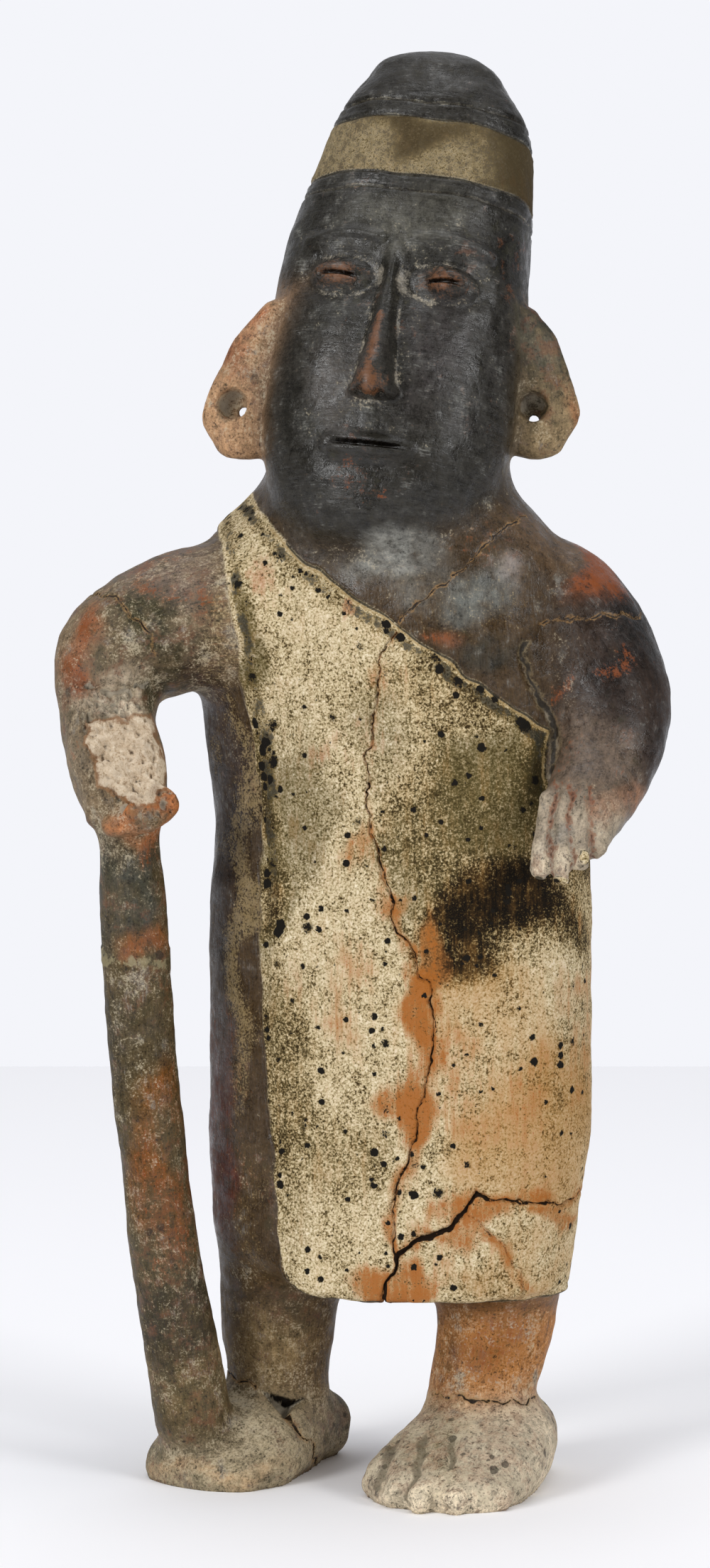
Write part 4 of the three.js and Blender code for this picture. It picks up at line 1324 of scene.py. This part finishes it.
# %% Colour of cracks, mends, crevices and breaks
number["is_broken"] = mask(0.5, 1.0, broken=1)
LAST_WASHES = [
    # dust in hollows and along the incised lines
    ("#91897a", 0.7, 0.85, 1.2, dict(hollow=1, fleck=0.5, grain=0.5)),
    ("#8f8873", 0.6, 1.5, 2.2, dict(line=-1, hue=3, grain=1.5)),
    # grooves between fingers, under the arm and between toes: a worn rim, then painted shade in the groove
    ("#74432a", 0.75, 3.8, 5.4, dict(finger=-1, fleck=8, grain=3)),
    ("#2c2018", 0.8, 1.5, 2.3, dict(finger=-1, fleck=4)),
    ("#7b6c50", 0.55, 1.9, 3.9, dict(armpit=-1, fleck=6, grain=4)),
    ("#15100a", 0.9, -0.3, 0.8, dict(armpit=-1, fleck=3)),
    ("#4f4735", 0.6, 0.0, 1.4, dict(toe=-1, fleck=4, grain=1)),
    # worn lids and nose, then painted shade in the eye and mouth slits and in the incised lines
    ("#6f4628", 0.75, 1.7, 2.7, dict(lid=-1, fleck=2.5, grain=2, hue=1)),
    ("#0c0805", 0.95, -1.05, -0.7, dict(slit=-1)),
    ("#17110a", 0.8, -0.7, -0.3, dict(line=-1)),
    # mends: filler beside the seam, then the seam
    ("#8f6d41", 0.75, 2.3, 3.7, dict(mend=-1, fleck=5, grain=2)),
    ("#1f150b", 1.0, 0.1, 0.5, dict(mend=-1, fleck=1)),
    # the break: brown edge, pale clay, paler and darker grains, and painted shade in its hollows
    ("#8a6443", 0.7, 1.2, 2.8, dict(broken=1, fleck=5, mottle=2)),
    ("#c6b49b", 1.0, 2.6, 4.0, dict(broken=1, fleck=4, grain=2)),
    ("#e4d9c6", 0.6, 3.02, 3.3, dict(is_broken=2, grain=1, fleck=1)),
    ("#8c7355", 0.7, 1.02, 1.2, dict(is_broken=2, grain=-1, fleck=-1)),
    ("#4a3826", 0.7, 3.4, 3.6, dict(is_broken=2, hollow=0.5, fleck=1.5, grain=0.5)),
    # cracks: orange clay beside them, then the dark gap. Last painted shade in the pit, and the filler round
    # the staff
    ("#9a5f2c", 0.7, 0.1, 1.6, dict(crack=-1, fleck=2)),
    ("#1c1107", 1.0, 0.1, 0.35, dict(crack=-1, grain=0.6)),
    ("#0d0804", 1.0, -0.5, 0.8, dict(pit=1)),
    ("#8d8363", 0.7, 7.6, 9.6, dict(repair=-1, fleck=8, grain=4)),
]
colour = node("Mix", {0: slipped, 6: burnished, 7: slip}, data_type="RGBA").outputs[2]
colour = washed(colour, LAST_WASHES)
print(len(LAST_WASHES), "washes over both")

# %% Sheen and fine relief
number["rough"] = mask(0.9, 1.3, 0.34, mottle=1, fleck=0.7, grain=0.5)
rough = total(0.16, rough=1, matt=0.4)
rough = node("Mix", {0: slipped, 2: rough, 3: 0.78}, data_type="FLOAT").outputs[0]
rough_break = mask(-0.5, 0.5, 0.9, broken=1)
rough = node("Math", {0: rough, 1: rough_break}, operation="MAXIMUM").outputs[0]
number["gloss"] = mask(0.9, 1.3, 0.32, hue=1, scratch=0.6, cloud=0.6)
gloss = total(0.08, polish=0.16, gloss=1, dusting=-0.15)
level = node("Mix", {0: slipped, 2: gloss, 3: 0.12}, data_type="FLOAT").outputs[0]
open_clay = node("Math", {0: number["matt"], 1: slipped}, operation="MAXIMUM").outputs[0]
number["open_grain"] = node("Math", {0: number["grain"], 1: open_clay}, operation="MULTIPLY").outputs[0]
height = total(open_grain=0.5, stroke=0.3, fleck=0.5, mottle=0.9, spots=0.05)
bump = node("Bump", {"Height": height, "Strength": 0.9, "Distance": 0.001})
surface = node(
    "BsdfPrincipled",
    {"Base Color": colour, "Roughness": rough, "Normal": bump.outputs["Normal"], "IOR": 1.45,
     "Specular IOR Level": level},
)
node("OutputMaterial", {"Surface": surface.outputs["BSDF"]})
figure.data.materials.clear()
figure.data.materials.append(clay)
print("material has", len(tree.nodes), "nodes")

# %% The figure stands for the solid
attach(figure, "root")
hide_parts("figure")
print("figure rides on root")

# %% [markdown]
# ## Floor, light and air
#
# The photograph was taken on white paper with large soft lights to the left and right and one above. The
# paper's far edge shows as a faint line behind the figure, so the floor ends there and a pale world
# carries on. The pale paper behind the figure glances off its sides, while the dark room on the camera's
# side hardly shows in the burnish, so the world is bright behind and dim in front.

# %% Floor
paper = bpy.data.materials.new("white_paper")
paper.use_nodes = True
shader = paper.node_tree.nodes["Principled BSDF"]
shader.inputs["Base Color"].default_value = (*linear("#fbfbfd"), 1)
shader.inputs["Roughness"].default_value = 0.9
SIDE, NEAR, END = 3, -3.5, 1.477  # half its width, and its near and far edges, in m
corners = [(-SIDE, NEAR, 0), (SIDE, NEAR, 0), (SIDE, END, 0), (-SIDE, END, 0)]
floor = mesh_object("floor", corners, [(0, 1, 2, 3)])
floor.data.materials.append(paper)
print("floor ends", END, "m behind")

# %% World
world = bpy.data.worlds.new("pale_room")
bpy.context.scene.world = world
world.use_nodes = True
tree = world.node_tree
tree.nodes.clear()
direction = node("SeparateXYZ", {0: node("TexCoord").outputs["Generated"]})
for name, axis, low, most in (("behind", "Y", 0.3, 0.6), ("above", "Z", 0.5, 1.0)):
    settings = {"Value": direction.outputs[axis], "From Min": low, "From Max": 1.0, "To Max": most}
    number[name] = node("MapRange", settings).outputs[0]
PALE = "#f4f5fa"
seen = node("Background", {"Color": PALE, "Strength": 1.0})
strength = total(0.14, behind=1, above=1)
felt = node("Background", {"Color": PALE, "Strength": strength})
ray = node("LightPath")
chosen = node("MixShader", {0: ray.outputs["Is Camera Ray"], 1: felt.outputs[0], 2: seen.outputs[0]})
node("OutputWorld", {0: chosen.outputs[0]})
print("world is pale")

# %% Lamps
LAMPS = {
    # place, side in m, watts
    "left_softbox": ((-5.4, -5.8, 3.0), 2.6, 400),
    "right_softbox": ((5.8, -5.0, 2.8), 2.6, 270),
    "top_softbox": ((0.1, -0.1, 3.3), 1.3, 14),
}
for name, (spot, side, watts) in LAMPS.items():
    data = bpy.data.lights.new(name, "AREA")
    data.size = side
    data.energy = watts
    lamp = bpy.data.objects.new(name, data)
    bpy.context.scene.collection.objects.link(lamp)
    lamp.location = spot
    lamp.rotation_euler = (Vector((0, 0, 0.38)) - Vector(spot)).to_track_quat("-Z", "Y").to_euler()
bpy.context.scene.view_settings.view_transform = "Standard"
print(len(LAMPS), "soft lamps")
